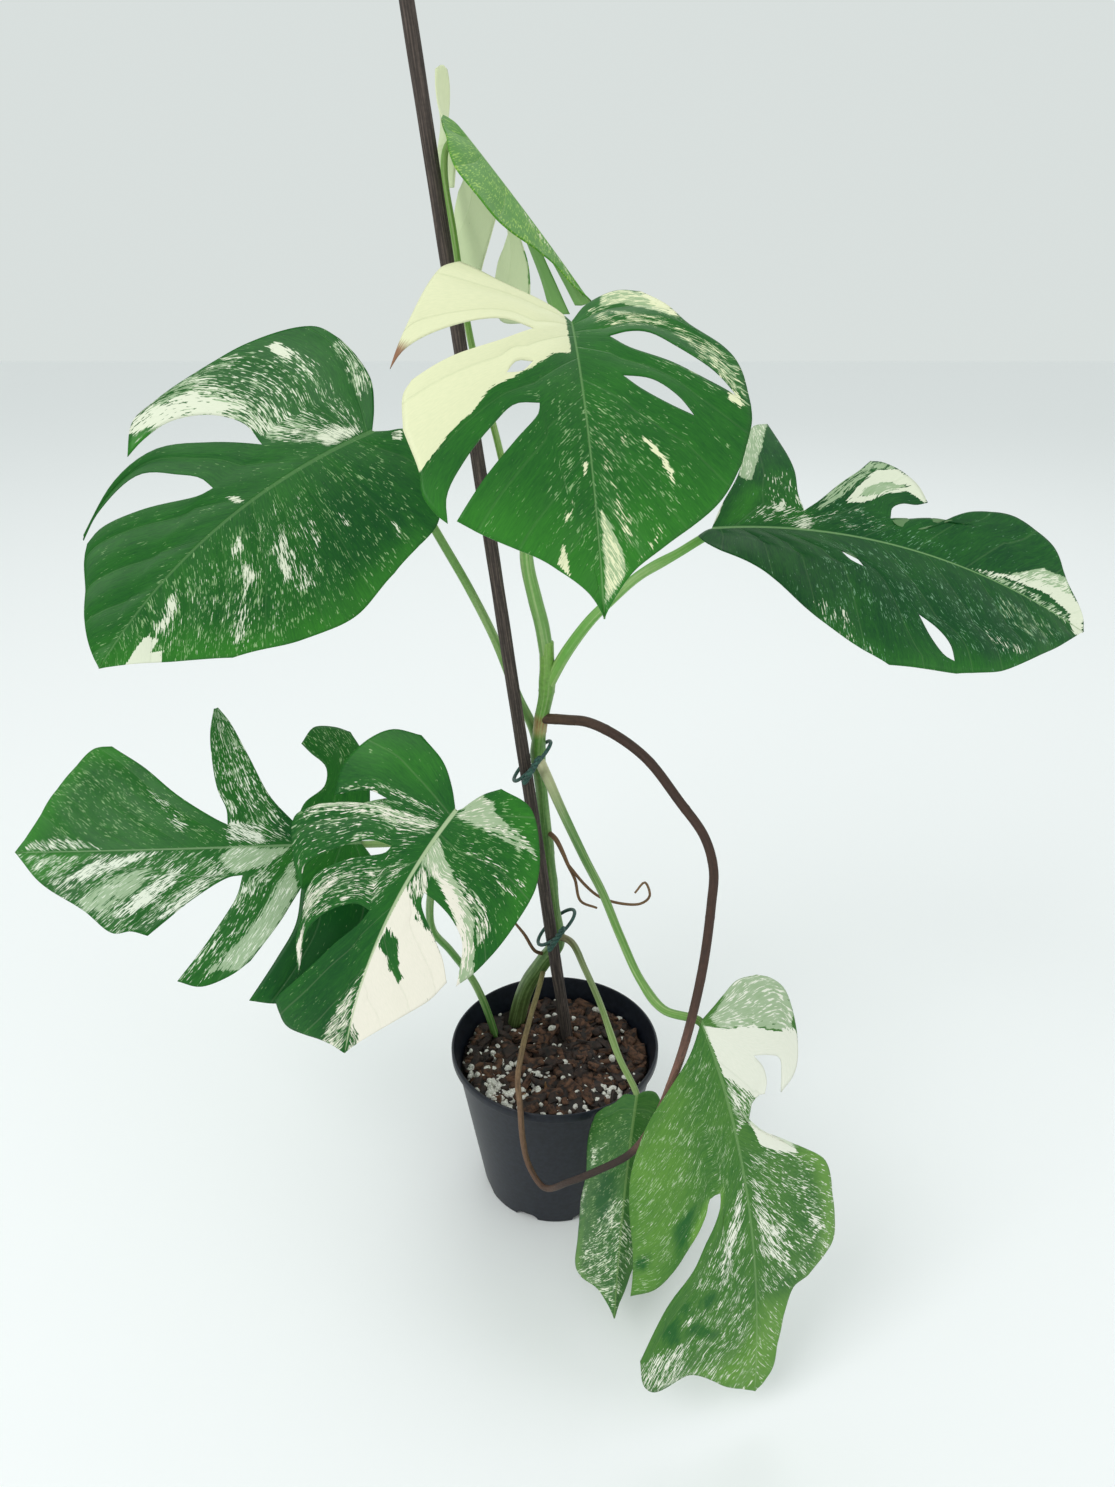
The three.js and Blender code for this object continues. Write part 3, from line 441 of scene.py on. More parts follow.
STEM = Rod(
    path=[[-34, 42, 70], [-29, 42, 109], [-21, 42, 140], [-9, 40, 163], [1, 38, 182],
        [-1, 36, 216], [-5, 36, 262], [-9, 35, 310], [-11, 33, 338], [-9, 30, 363],
        [-5, 30, 386], [-5, 30, 417]],
    radius=[6.2, 6.8, 6.4, 6.2, 5.8, 4.4, 4.6, 4.2, 5.0, 4.4, 5.2, 4.8],
)

LONG_ROOT = Rod(
    path=[[-8, 29, 366], [8, 18, 370], [21, 10, 372], [39, 0, 367], [58, -14, 357],
        [76, -36, 340], [90, -55, 326], [94, -72, 314], [91, -92, 302], [84, -122, 284],
        [76, -142, 259], [69, -141, 221], [59, -136, 178], [46, -131, 148], [27, -127, 130],
        [10, -121, 114], [-8, -101, 88], [-17, -91, 96], [-21, -84, 112], [-23, -72, 130],
        [-25, -56, 136], [-23, -34, 141], [-18, -8, 148], [-12, 16, 156], [-9, 30, 160]],
    radius=[3.6, 3.5, 3.4, 3.3, 3.2, 3.1, 3.0, 2.9, 2.8, 2.7, 2.6, 2.5, 2.4, 2.3, 2.3,
        2.2, 2.1, 2.1, 2.1, 2.1, 2.1, 2.1, 2.0, 2.0, 2.0],
)

FINE_ROOTS: dict[str, list[Rod]] = {
    "upper": [
        Rod(path=[[-4, 34, 277], [1, 26, 276], [6, 22, 267], [9, 20, 260], [14, 18, 249],
            [18, 14, 234], [29, 10, 231]], radius=[1.9, 1.8, 1.5, 1.3, 1.1, 1.0, 0.8]),
        Rod(path=[[9, 20, 260], [21, 14, 247], [31, 10, 240], [45, 5, 238], [58, 0, 241],
            [64, -4, 250], [60, -6, 262], [54, -6, 254]],
            radius=[1.1, 1.1, 1.0, 1.0, 0.9, 0.9, 0.8, 0.7]),
    ],
    "lower": [
        Rod(path=[[-8, 40, 170], [-15, 31, 180], [-22, 28, 196], [-29, 26, 208]],
            radius=[1.5, 1.3, 1.2, 0.9]),
    ],
}


def linear(colour: int) -> tuple[float, float, float, float]:
    """Turns an sRGB colour into the linear one that a shader takes.

    Args:
        colour: The colour as 0xRRGGBB.

    Returns:
        Red, green, blue and an alpha of one.
    """
    parts = [((colour >> shift) & 255) / 255 for shift in (16, 8, 0)]
    made = [c / 12.92 if c <= 0.04045 else ((c + 0.055) / 1.055) ** 2.4 for c in parts]
    return made[0], made[1], made[2], 1.0


def put(
    tree: Tree, kind: str, inputs: dict[int | str, object] | None = None, **settings: object
) -> bpy.types.Node:
    """Adds a node to a material.

    Args:
        tree: Node tree of the material.
        kind: Type of the node, without its leading "ShaderNode".
        inputs: A value, or a socket to link, for each input by name or index.
        settings: The node's own properties.

    Returns:
        The new node.
    """
    node = tree.nodes.new("ShaderNode" + kind)
    for name, value in settings.items():
        setattr(node, name, value)
    for key, value in (inputs or {}).items():
        if isinstance(value, Socket):
            tree.links.new(value, node.inputs[key])
        else:
            node.inputs[key].default_value = value
    return node


def smooth_line(points: Points, places: np.ndarray) -> np.ndarray:
    """Follows a centripetal Catmull-Rom line through some points.

    Args:
        points: What the line passes through.
        places: Where to read it, counted in points from the first.

    Returns:
        One point for each place.
    """
    p = np.asarray(points, float)
    p = np.vstack([2 * p[0] - p[1], p, 2 * p[-1] - p[-2]])
    i = np.clip(places.astype(int), 0, len(points) - 2)
    f = (places - i)[:, None]
    p0, p1, p2, p3 = (p[i + k] for k in range(4))
    d0, d1, d2 = (
        np.sqrt(np.linalg.norm(b - a, axis=1))[:, None] for a, b in ((p0, p1), (p1, p2), (p2, p3))
    )
    leave = ((p1 - p0) / d0 - (p2 - p0) / (d0 + d1) + (p2 - p1) / d1) * d1
    reach = ((p2 - p1) / d1 - (p3 - p1) / (d1 + d2) + (p3 - p2) / d2) * d1
    square = -3 * p1 + 3 * p2 - 2 * leave - reach
    return p1 + leave * f + square * f**2 + (2 * p1 - 2 * p2 + leave + reach) * f**3


def lengths_along(line: np.ndarray) -> np.ndarray:
    """Distance of each point of a line from its first one."""
    return np.concatenate([[0.0], np.cumsum(np.linalg.norm(np.diff(line, axis=0), axis=1))])


def spaced(points: Points, count: int) -> np.ndarray:
    """Spaces points evenly along the smooth line through the given ones.

    Args:
        points: What the line passes through.
        count: Number of equal steps.

    Returns:
        count + 1 points.
    """
    share = np.linspace(0, 1, count + 1)
    if len(points) == 2:
        a, b = np.asarray(points, float)
        return a + (b - a) * share[:, None]
    places = np.linspace(0, len(points) - 1, MEASURING_STEPS + 1)
    far = lengths_along(smooth_line(points, places))
    return smooth_line(points, np.interp(share * far[-1], far, places))


def line_length(points: Points) -> float:
    """Length of the straight steps between some points."""
    return float(lengths_along(np.asarray(points, float))[-1])


def along(pairs: Points, s: np.ndarray) -> np.ndarray:
    """Value at each station, from [station, value] pairs."""
    stations, values = zip(*pairs)
    return np.interp(s, stations, values)


def ease(low: float, high: float, x: np.ndarray) -> np.ndarray:
    """Smooth step from 0 at low to 1 at high."""
    t = np.clip((x - low) / (high - low), 0, 1)
    return t * t * (3 - 2 * t)


class LeafSurface:
    """Curved surface of a leaf: a bent midrib with a drooping half on each side."""

    STEPS = 96

    def __init__(self, form: Form) -> None:
        """Walks the midrib from the base.

        Args:
            form: Shape of the leaf.
        """
        self.form = form
        step = form.length / self.STEPS
        moves = self.direction((np.arange(self.STEPS) + 0.5) * step) * step
        base = np.asarray(form.base, float)
        self.points = np.vstack([base, base + np.cumsum(moves, axis=0)])

    def direction(self, s: np.ndarray) -> np.ndarray:
        """Finds which way the midrib runs.

        Args:
            s: Stations along the midrib.

        Returns:
            Its unit direction at each station.
        """
        turn = along(self.form.heading, s) * DEGREE
        slope = along(self.form.slope, s) * DEGREE
        level = np.cos(slope)
        return np.stack([level * np.cos(turn), level * np.sin(turn), np.sin(slope)], -1)

    def midrib(self, s: np.ndarray) -> np.ndarray:
        """Follows the midrib, carried straight on beyond its ends.

        Args:
            s: Stations along the midrib.

        Returns:
            Its point at each station.
        """
        inside = np.clip(s, 0, self.form.length)
        knots = np.linspace(0, self.form.length, self.STEPS + 1)
        place = np.stack([np.interp(inside, knots, self.points[:, k]) for k in range(3)], -1)
        return place + self.direction(s) * (s - inside)[..., None]

    def frame(self, s: np.ndarray) -> tuple[np.ndarray, np.ndarray]:
        """Turns the leaf's own axes to its roll.

        Args:
            s: Stations along the midrib.

        Returns:
            The leaf's normal and its rightward direction at each station.
        """
        tangent = self.direction(s)
        up = np.array([0.0, 0.0, 1.0]) - tangent * tangent[..., 2:]
        up /= np.linalg.norm(up, axis=-1, keepdims=True)
        side = np.cross(tangent, up)
        roll = (along(self.form.roll, s) * DEGREE)[..., None]
        return up * np.cos(roll) + side * np.sin(roll), side * np.cos(roll) - up * np.sin(roll)

    def place(self, s: np.ndarray, w: np.ndarray, side: Side) -> tuple[np.ndarray, np.ndarray]:
        """Puts points of one half on the surface.

        Args:
            s: Stations along the midrib.
            w: Distances out from it.
            side: Which half they are on.

        Returns:
            The points and the surface's normals there.
        """
        normal, across = self.frame(s)
        rise = along(self.form.rise[side.value], s) * DEGREE
        bend = self.form.droop[side.value] * DEGREE
        slope = rise - bend * w
        out = (np.sin(rise) - np.sin(slope)) / bend * side.sign
        lift = (np.cos(slope) - np.cos(rise)) / bend
        points = self.midrib(s) + across * out[..., None] + normal * lift[..., None]
        turned = normal * np.cos(slope)[..., None] - across * (side.sign * np.sin(slope))[..., None]
        return points, turned

    def under(self, s: float, distance: float) -> np.ndarray:
        """Finds a point below the midrib.

        Args:
            s: Station along the midrib.
            distance: Clear distance from the leaf's skins.

        Returns:
            The point.
        """
        at = np.array([s])
        rises = [along(self.form.rise[side.value], at) for side in Side]
        normals = [self.place(at, np.zeros(1), side)[1][0] for side in Side]
        half = math.acos(min(1.0, float(np.dot(*normals)))) / 2
        away = sum(normals)
        if sum(rises)[0] < 0:
            distance /= math.cos(half)
        return self.midrib(at)[0] - away / np.linalg.norm(away) * distance


def gap_rails(gap: Split | Hole | Seam, rows: int) -> tuple[np.ndarray, np.ndarray]:
    """Draws the two edges of a gap, which share their rows up to it.

    Args:
        gap: The split, hole or seam.
        rows: Number of steps from the midrib to the margin.

    Returns:
        The edge that ends one lobe and the edge that starts the next.
    """
    foot = [gap.at, 0]
    if isinstance(gap, Seam):
        shared = spaced([foot, *gap.points, gap.end], rows)
        return shared, shared
    closed = isinstance(gap, Hole)
    inner = line_length([foot, gap.root])
    middle = line_length([gap.root, *gap.back] + ([gap.close] if closed else []))
    outer = line_length([gap.close, gap.end]) if closed else 0.0
    total = inner + middle + outer
    last = max(1, round(rows * outer / total)) if closed else 0
    first = min(max(1, round(rows * inner / total)), rows - last - 2)
    lines = []
    for edge in (gap.back, gap.out):
        way = [gap.root, *edge] + ([gap.close] if closed else [])
        parts = [spaced([foot, gap.root], first), spaced(way, rows - last - first)[1:]]
        if closed:
            parts.append(spaced([gap.close, gap.end], last)[1:])
        lines.append(np.vstack(parts))
    return lines[0], lines[1]


def depth_inside(points: np.ndarray, outline: Points) -> np.ndarray:
    """Measures how deep points lie inside an outline.

    Args:
        points: Points to measure.
        outline: Corners of the outline in order.

    Returns:
        Distance to the outline, negative outside it.
    """
    a = np.asarray(outline, float)
    edge = np.roll(a, -1, axis=0) - a
    rel = points[:, None, :] - a
    t = np.clip((rel * edge).sum(-1) / (edge**2).sum(-1), 0, 1)
    near = np.linalg.norm(rel - t[..., None] * edge, axis=-1).min(axis=1)
    crosses = (rel[..., 1] < 0) != (rel[..., 1] < edge[:, 1])
    rise = np.where(edge[:, 1] == 0, 1, edge[:, 1])
    left = rel[..., 0] < edge[:, 0] * rel[..., 1] / rise
    return np.where((crosses & left).sum(axis=1) % 2 == 1, near, -near)


def weld(bm: bmesh.types.BMesh) -> None:
    """Merges doubled corners, drops empty faces and turns the rest outwards.

    Args:
        bm: Mesh to mend.
    """
    bmesh.ops.remove_doubles(bm, verts=bm.verts, dist=WELD)
    bmesh.ops.dissolve_degenerate(bm, dist=WELD, edges=bm.edges)
    bmesh.ops.recalc_face_normals(bm, faces=bm.faces)


def spin_section(section: Points, steps: int) -> bmesh.types.BMesh:
    """Spins a half section round the upright axis.

    Args:
        section: Points of the section, as [radius, height].
        steps: Number of steps in the full turn.

    Returns:
        A new, closed mesh.
    """
    bm = bmesh.new()
    verts = [bm.verts.new((r * MM, 0, z * MM)) for r, z in section]
    edges = [bm.edges.new(pair) for pair in zip(verts, verts[1:])]
    bmesh.ops.spin(bm, geom=verts + edges, cent=(0, 0, 0), axis=(0, 0, 1),
        angle=2 * math.pi, steps=steps, use_merge=True)
    weld(bm)
    return bm


def lay_grid(
    bm: bmesh.types.BMesh, columns: int, rows: int
) -> dict[bmesh.types.BMVert, tuple[int, int]]:
    """Adds a flat grid, ready to be bent into shape.

    Args:
        bm: Mesh to add it to.
        columns: Number of faces along x.
        rows: Number of faces along y.

    Returns:
        The row and the column of each corner.
    """
    made = bmesh.ops.create_grid(bm, x_segments=columns, y_segments=rows, size=0.5)["verts"]
    return {
        vert: (round((vert.co.y + 0.5) * rows), round((vert.co.x + 0.5) * columns)) for vert in made
    }


def new_piece(
    bm: bmesh.types.BMesh,
    name: str,
    materials: list[bpy.types.Material],
    nodes: tuple[str, ...] = (),
) -> bpy.types.Object:
    """Makes a finished piece that rides on the plant.

    Args:
        bm: The piece's mesh, which is freed.
        name: Name of the piece.
        materials: Its materials, in the order of its faces' indices.
        nodes: CAD nodes that it stands for.

    Returns:
        The new object.
    """
    mesh = bpy.data.meshes.new(name)
    for face in bm.faces:
        face.smooth = True
    bm.to_mesh(mesh)
    bm.free()
    piece = bpy.data.objects.new(name, mesh)
    for material in materials:
        mesh.materials.append(material)
    bpy.context.scene.collection.objects.link(piece)
    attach(piece, BODY)
    if nodes:
        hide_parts(*nodes)
    log.info("%s: %d faces", name, len(mesh.polygons))
    return piece


@dataclass
class Blade:
    """Cut leaf blade with its veins, quilted relief and markings."""

    name: str
    form: Form
    marks: list[Mark]
    skin: "LeafSkin"
    rows: int = 34
    step: float = 2.8
    thickness: float = 0.7
    quilting: float = 0.3
    groove: float = 0.4
    wave: float = 1.0
    vein_spacing: float = 26.0
    fresh: float = 0.4

    def __post_init__(self) -> None:
        """Sets up the surface that the blade lies on."""
        self.surface = LeafSurface(self.form)

    def lobes(self, side: Side) -> list[tuple[np.ndarray, np.ndarray, Points]]:
        """Collects the lobes of one half.

        Args:
            side: Which half.

        Returns:
            For each lobe its starting edge, its ending edge and its margin.
        """
        half = self.form.right if side is Side.RIGHT else self.form.left
        tip = np.tile([self.form.length, 0.0], (self.rows + 1, 1))
        before = spaced([[0, 0], *half.sinus], self.rows)
        found = []
        for lobe in half.lobes:
            end, start = gap_rails(lobe.gap, self.rows) if lobe.gap else (tip, tip)
            margin = [before[-1].tolist(), *lobe.margin, end[-1].tolist()]
            found.append((before, end, margin))
            before = start
        return found

    def stations(self) -> np.ndarray:
        """Spaces the columns along the midrib for the side that needs more.

        Returns:
            Stations of the columns, each lobe's ends among them.
        """
        lobes = [lobe for side in Side for lobe in self.lobes(side)]
        edges = sorted({round(float(rail[0, 0]), 4) for lobe in lobes for rail in lobe[:2]})
        found = [np.array([edges[0]])]
        for a, b in zip(edges, edges[1:]):
            need = (b - a) / self.step
            for before, end, margin in lobes:
                first, last = before[0, 0], end[0, 0]
                if first <= a + 1e-3 and b <= last + 1e-3:
                    need = max(need, line_length(margin) / self.step * (b - a) / (last - first))
            found.append(np.linspace(a, b, max(1, round(need)) + 1)[1:])
        return np.concatenate(found)

    def relief(self, grid: np.ndarray, vein: np.ndarray, t: np.ndarray) -> np.ndarray:
        """Lifts the skin between the side veins and sinks it along them.

        Args:
            grid: Stations and distances out.
            vein: Vein coordinate, whose half numbers are the side veins.
            t: Share of the way out to the margin.

        Returns:
            Height over the plain surface.
        """
        phase = vein - np.floor(vein) - 0.5
        # The relief starts just off the midrib and fades towards the margin.
        open_blade = ease(0.02, 0.3, t) * (1 - 0.6 * ease(0.8, 1.0, t))
        quilt = self.quilting * -np.cos(2 * math.pi * phase) * open_blade
        sunk = self.groove * np.exp(-((phase / 0.1) ** 2)) * open_blade
        s, w = grid[..., 0], grid[..., 1]
        # Waves about 50 to 260 mm long cross one another, so that the ripple is uneven.
        ripple = np.sin(s / 15 + 0.7) * np.sin(w / 19 + s / 41) + 0.5 * np.sin(s / 8.5 - w / 11)
        return quilt - sunk + self.wave * ripple * ease(0.35, 1.0, t)

    def paint(self, points: np.ndarray) -> np.ndarray:
        """Works out the marking channels.

        Args:
            points: Stations and signed distances out.

        Returns:
            One value for each channel at each point.
        """
        made = np.zeros((len(points), len(Tint)))
        made[:, Tint.FRESH.value] = self.fresh
        for mark in self.marks:
            cover = np.clip(0.5 + depth_inside(points, mark.outline) / (2 * mark.soft), 0, 1)
            for tint, amount in mark.cover.items():
                channel = made[:, tint.value]
                channel += (amount - channel) * cover
        return made

    def lay(
        self,
        bm: bmesh.types.BMesh,
        lobe: tuple[np.ndarray, np.ndarray, Points],
        side: Side,
        stations: np.ndarray,
        offset: np.ndarray,
    ) -> np.ndarray:
        """Lays one lobe on the leaf's surface.

        Args:
            bm: Mesh to add it to.
            lobe: Its starting edge, its ending edge and its margin.
            side: Which half it is on.
            stations: Columns of the whole leaf along the midrib.
            offset: Flow and vein coordinates at the lobe's start.

        Returns:
            Those coordinates at its end.
        """
        before, end, margin = lobe
        first, last = before[0, 0], end[0, 0]
        columns = stations[(stations >= first - 1e-3) & (stations <= last + 1e-3)]
        u = ((columns - first) / (last - first))[None, :, None]
        t = np.linspace(0, 1, self.rows + 1)[:, None, None]
        outline = spaced(margin, MEASURING_STEPS)
        share = np.linspace(0, 1, MEASURING_STEPS + 1)
        outer = np.stack([np.interp(u[0, :, 0], share, outline[:, k]) for k in range(2)], -1)[None]
        inner = np.stack([columns, np.zeros_like(columns)], -1)[None]
        sides = before[:, None] * (1 - u) + end[:, None] * u
        corners = sides[:1] * (1 - t) + sides[-1:] * t
        grid = sides + inner * (1 - t) + outer * t - corners
        grid[..., 1] = np.maximum(grid[..., 1], 0)
        wide = np.linalg.norm(end - before, axis=1)[:, None]
        veins = max(1, round(float(wide.mean()) / self.vein_spacing))
        flow = offset[0] + u[..., 0] * wide.mean()
        vein = offset[1] + u[..., 0] * veins
        out = np.cumsum(np.linalg.norm(np.diff(grid, axis=0, prepend=grid[:1]), axis=-1), axis=0)
        points, normals = self.surface.place(grid[..., 0], grid[..., 1], side)
        points = points + normals * self.relief(grid, vein, t[..., 0])[..., None]
        signed = grid * np.array([1, side.sign])
        colours = self.paint(signed.reshape(-1, 2)).reshape(*grid.shape[:2], -1)
        marks = bm.verts.layers.float_color["marks"]
        dry = bm.verts.layers.float["dry"]
        cell = lay_grid(bm, len(columns) - 1, self.rows)
        for vert, (i, j) in cell.items():
            vert.co = points[i, j] * MM
            vert[marks], vert[dry] = colours[i, j, :4], colours[i, j, DRY.value]
        layers = [bm.loops.layers.uv[name] for name in ("plane", "flow", "vein")]
        for face in {face for vert in cell for face in vert.link_faces}:
            for loop in face.loops:
                i, j = cell[loop.vert]
                values = (signed[i, j], (flow[0, j], out[i, j]), (vein[0, j], wide[i, 0] / veins))
                for layer, value in zip(layers, values):
                    loop[layer].uv = value
        return np.array([flow[0, -1], vein[0, -1]])

    def build(self) -> bpy.types.Object:
        """Builds the blade as one closed thin body.

        Returns:
            The blade.
        """
        bm = bmesh.new()
        bm.verts.layers.float_color.new("marks")
        bm.verts.layers.float.new("dry")
        for name in ("plane", "flow", "vein"):
            bm.loops.layers.uv.new(name)
        stations = self.stations()
        for side in Side:
            # The halves start far apart, so that their streaks differ.
            offset = np.array([side.sign * 1000.0, 0.0])
            for lobe in self.lobes(side):
                offset = self.lay(bm, lobe, side, stations, offset)
        weld(bm)
        middle = np.array([self.form.length / 2])
        upward = Vector(self.surface.frame(middle)[0][0])
        if sum(face.normal.dot(upward) * face.calc_area() for face in bm.faces) < 0:
            bmesh.ops.reverse_faces(bm, faces=bm.faces)
        piece = new_piece(
            bm, f"leaf_{self.name}", self.skin.materials(), (f"blade_{self.name}",)
        )
        body = piece.modifiers.new("thickness", "SOLIDIFY")
        body.thickness = self.thickness * MM
        body.offset = 0
        body.material_offset = 1
        return piece


def carried_sides(line: np.ndarray) -> tuple[np.ndarray, np.ndarray]:
    """Carries two side directions along a line without twist.

    Args:
        line: Points of the line.

    Returns:
        Two unit directions across the line at each point.
    """
    ahead = np.gradient(line, axis=0)
    ahead /= np.linalg.norm(ahead, axis=1)[:, None]
    side = np.array([0.0, 1.0, 0.0]) if abs(ahead[0, 0]) > 0.9 else np.array([1.0, 0.0, 0.0])
    sides = []
    for way in ahead:
        side = side - way * side.dot(way)
        side = side / np.linalg.norm(side)
        sides.append(side)
    across = np.array(sides)
    return across, np.cross(ahead, across)


@dataclass
class Tube:
    """Round, tapering body along a line, with domed ends.

    Its line is measured at some places in each span. An end bulges by a share
    of its radius, and the dome gives how far out each of its rings stands.
    """

    MEASURES = 60
    BULGE = 0.6
    DOME = (1.0, 0.92, 0.7, 0.38)

    rod: Rod
    sides: int = 14
    step: float = 2.5
    girth: Callable[[np.ndarray, np.ndarray], np.ndarray] | None = None

    def lay(self, bm: bmesh.types.BMesh) -> None:
        """Wraps a grid round the line.

        Args:
            bm: Mesh to add it to.
        """
        spans = len(self.rod.path) - 1
        coarse = np.linspace(0, spans, self.MEASURES * spans + 1)
        far = lengths_along(smooth_line(self.rod.path, coarse))
        count = max(2, round(far[-1] / self.step))
        places = np.interp(np.linspace(0, far[-1], count + 1), far, coarse)
        line = smooth_line(self.rod.path, places)
        radii = np.interp(places, np.arange(spans + 1), self.rod.radius)
        dome = np.array(self.DOME)[:, None]
        domed = np.sqrt(1 - np.linspace(0, 1, len(dome))[::-1] ** 2 * 0.999)
        ahead, behind = (line[1] - line[0]) / self.step, (line[-1] - line[-2]) / self.step
        first = line[:1] - ahead * radii[0] * dome * self.BULGE
        last = line[-1:] + behind * radii[-1] * dome[::-1] * self.BULGE
        line = np.vstack([first, line, last])
        radii = np.concatenate([radii[0] * domed, radii, radii[-1] * domed[::-1]])
        radii[[0, -1]] = 0
        across, over = carried_sides(line)
        rows = len(line) - 1
        angle = np.linspace(0, 2 * math.pi, self.sides + 1)
        far = lengths_along(line)
        thick = np.tile(radii[:, None], (1, self.sides + 1))
        if self.girth:
            thick = thick * self.girth(far[:, None], angle[None])
        thick[:, -1] = thick[:, 0]
        turned = across[:, None] * np.cos(angle)[None, :, None]
        turned = turned + over[:, None] * np.sin(angle)[None, :, None]
        points = line[:, None] + turned * thick[..., None]
        cell = lay_grid(bm, self.sides, rows)
        for vert, (i, j) in cell.items():
            vert.co = points[i, j % self.sides] * MM
        layer = bm.loops.layers.uv["skin"]
        round_size = float(radii.mean())
        for face in {face for vert in cell for face in vert.link_faces}:
            for loop in face.loops:
                i, j = cell[loop.vert]
                loop[layer].uv = (angle[j] * round_size, far[i])


def tube_piece(
    tubes: list[Tube], name: str, material: bpy.types.Material, nodes: tuple[str, ...]
) -> bpy.types.Object:
    """Makes one piece of some tubes.

    Args:
        tubes: The tubes.
        name: Name of the piece.
        material: Its material.
        nodes: CAD nodes that it stands for.

    Returns:
        The new object.
    """
    bm = bmesh.new()
    bm.loops.layers.uv.new("skin")
    for tube in tubes:
        tube.lay(bm)
    weld(bm)
    return new_piece(bm, name, [material], nodes)


def weighed(tree: Tree, parts: list[tuple[Socket, float]], start: float) -> Socket:
    """Adds up some values by their weights.

    Args:
        tree: Node tree of the material.
        parts: The values, each with its weight.
        start: What the sum starts from.

    Returns:
        The sum.
    """
    total: Socket | float = start
    for value, weight in parts:
        total = put(tree, "Math", {0: value, 1: weight, 2: total}, operation="MULTIPLY_ADD").outputs[0]
    return total


def new_material(name: str) -> tuple[bpy.types.Material, Tree, bpy.types.Node]:
    """Starts a material.

    Args:
        name: Its name.

    Returns:
        The material, its node tree and its principled shader.
    """
    material = bpy.data.materials.new(name)
    material.use_nodes = True
    return material, material.node_tree, material.node_tree.nodes["Principled BSDF"]


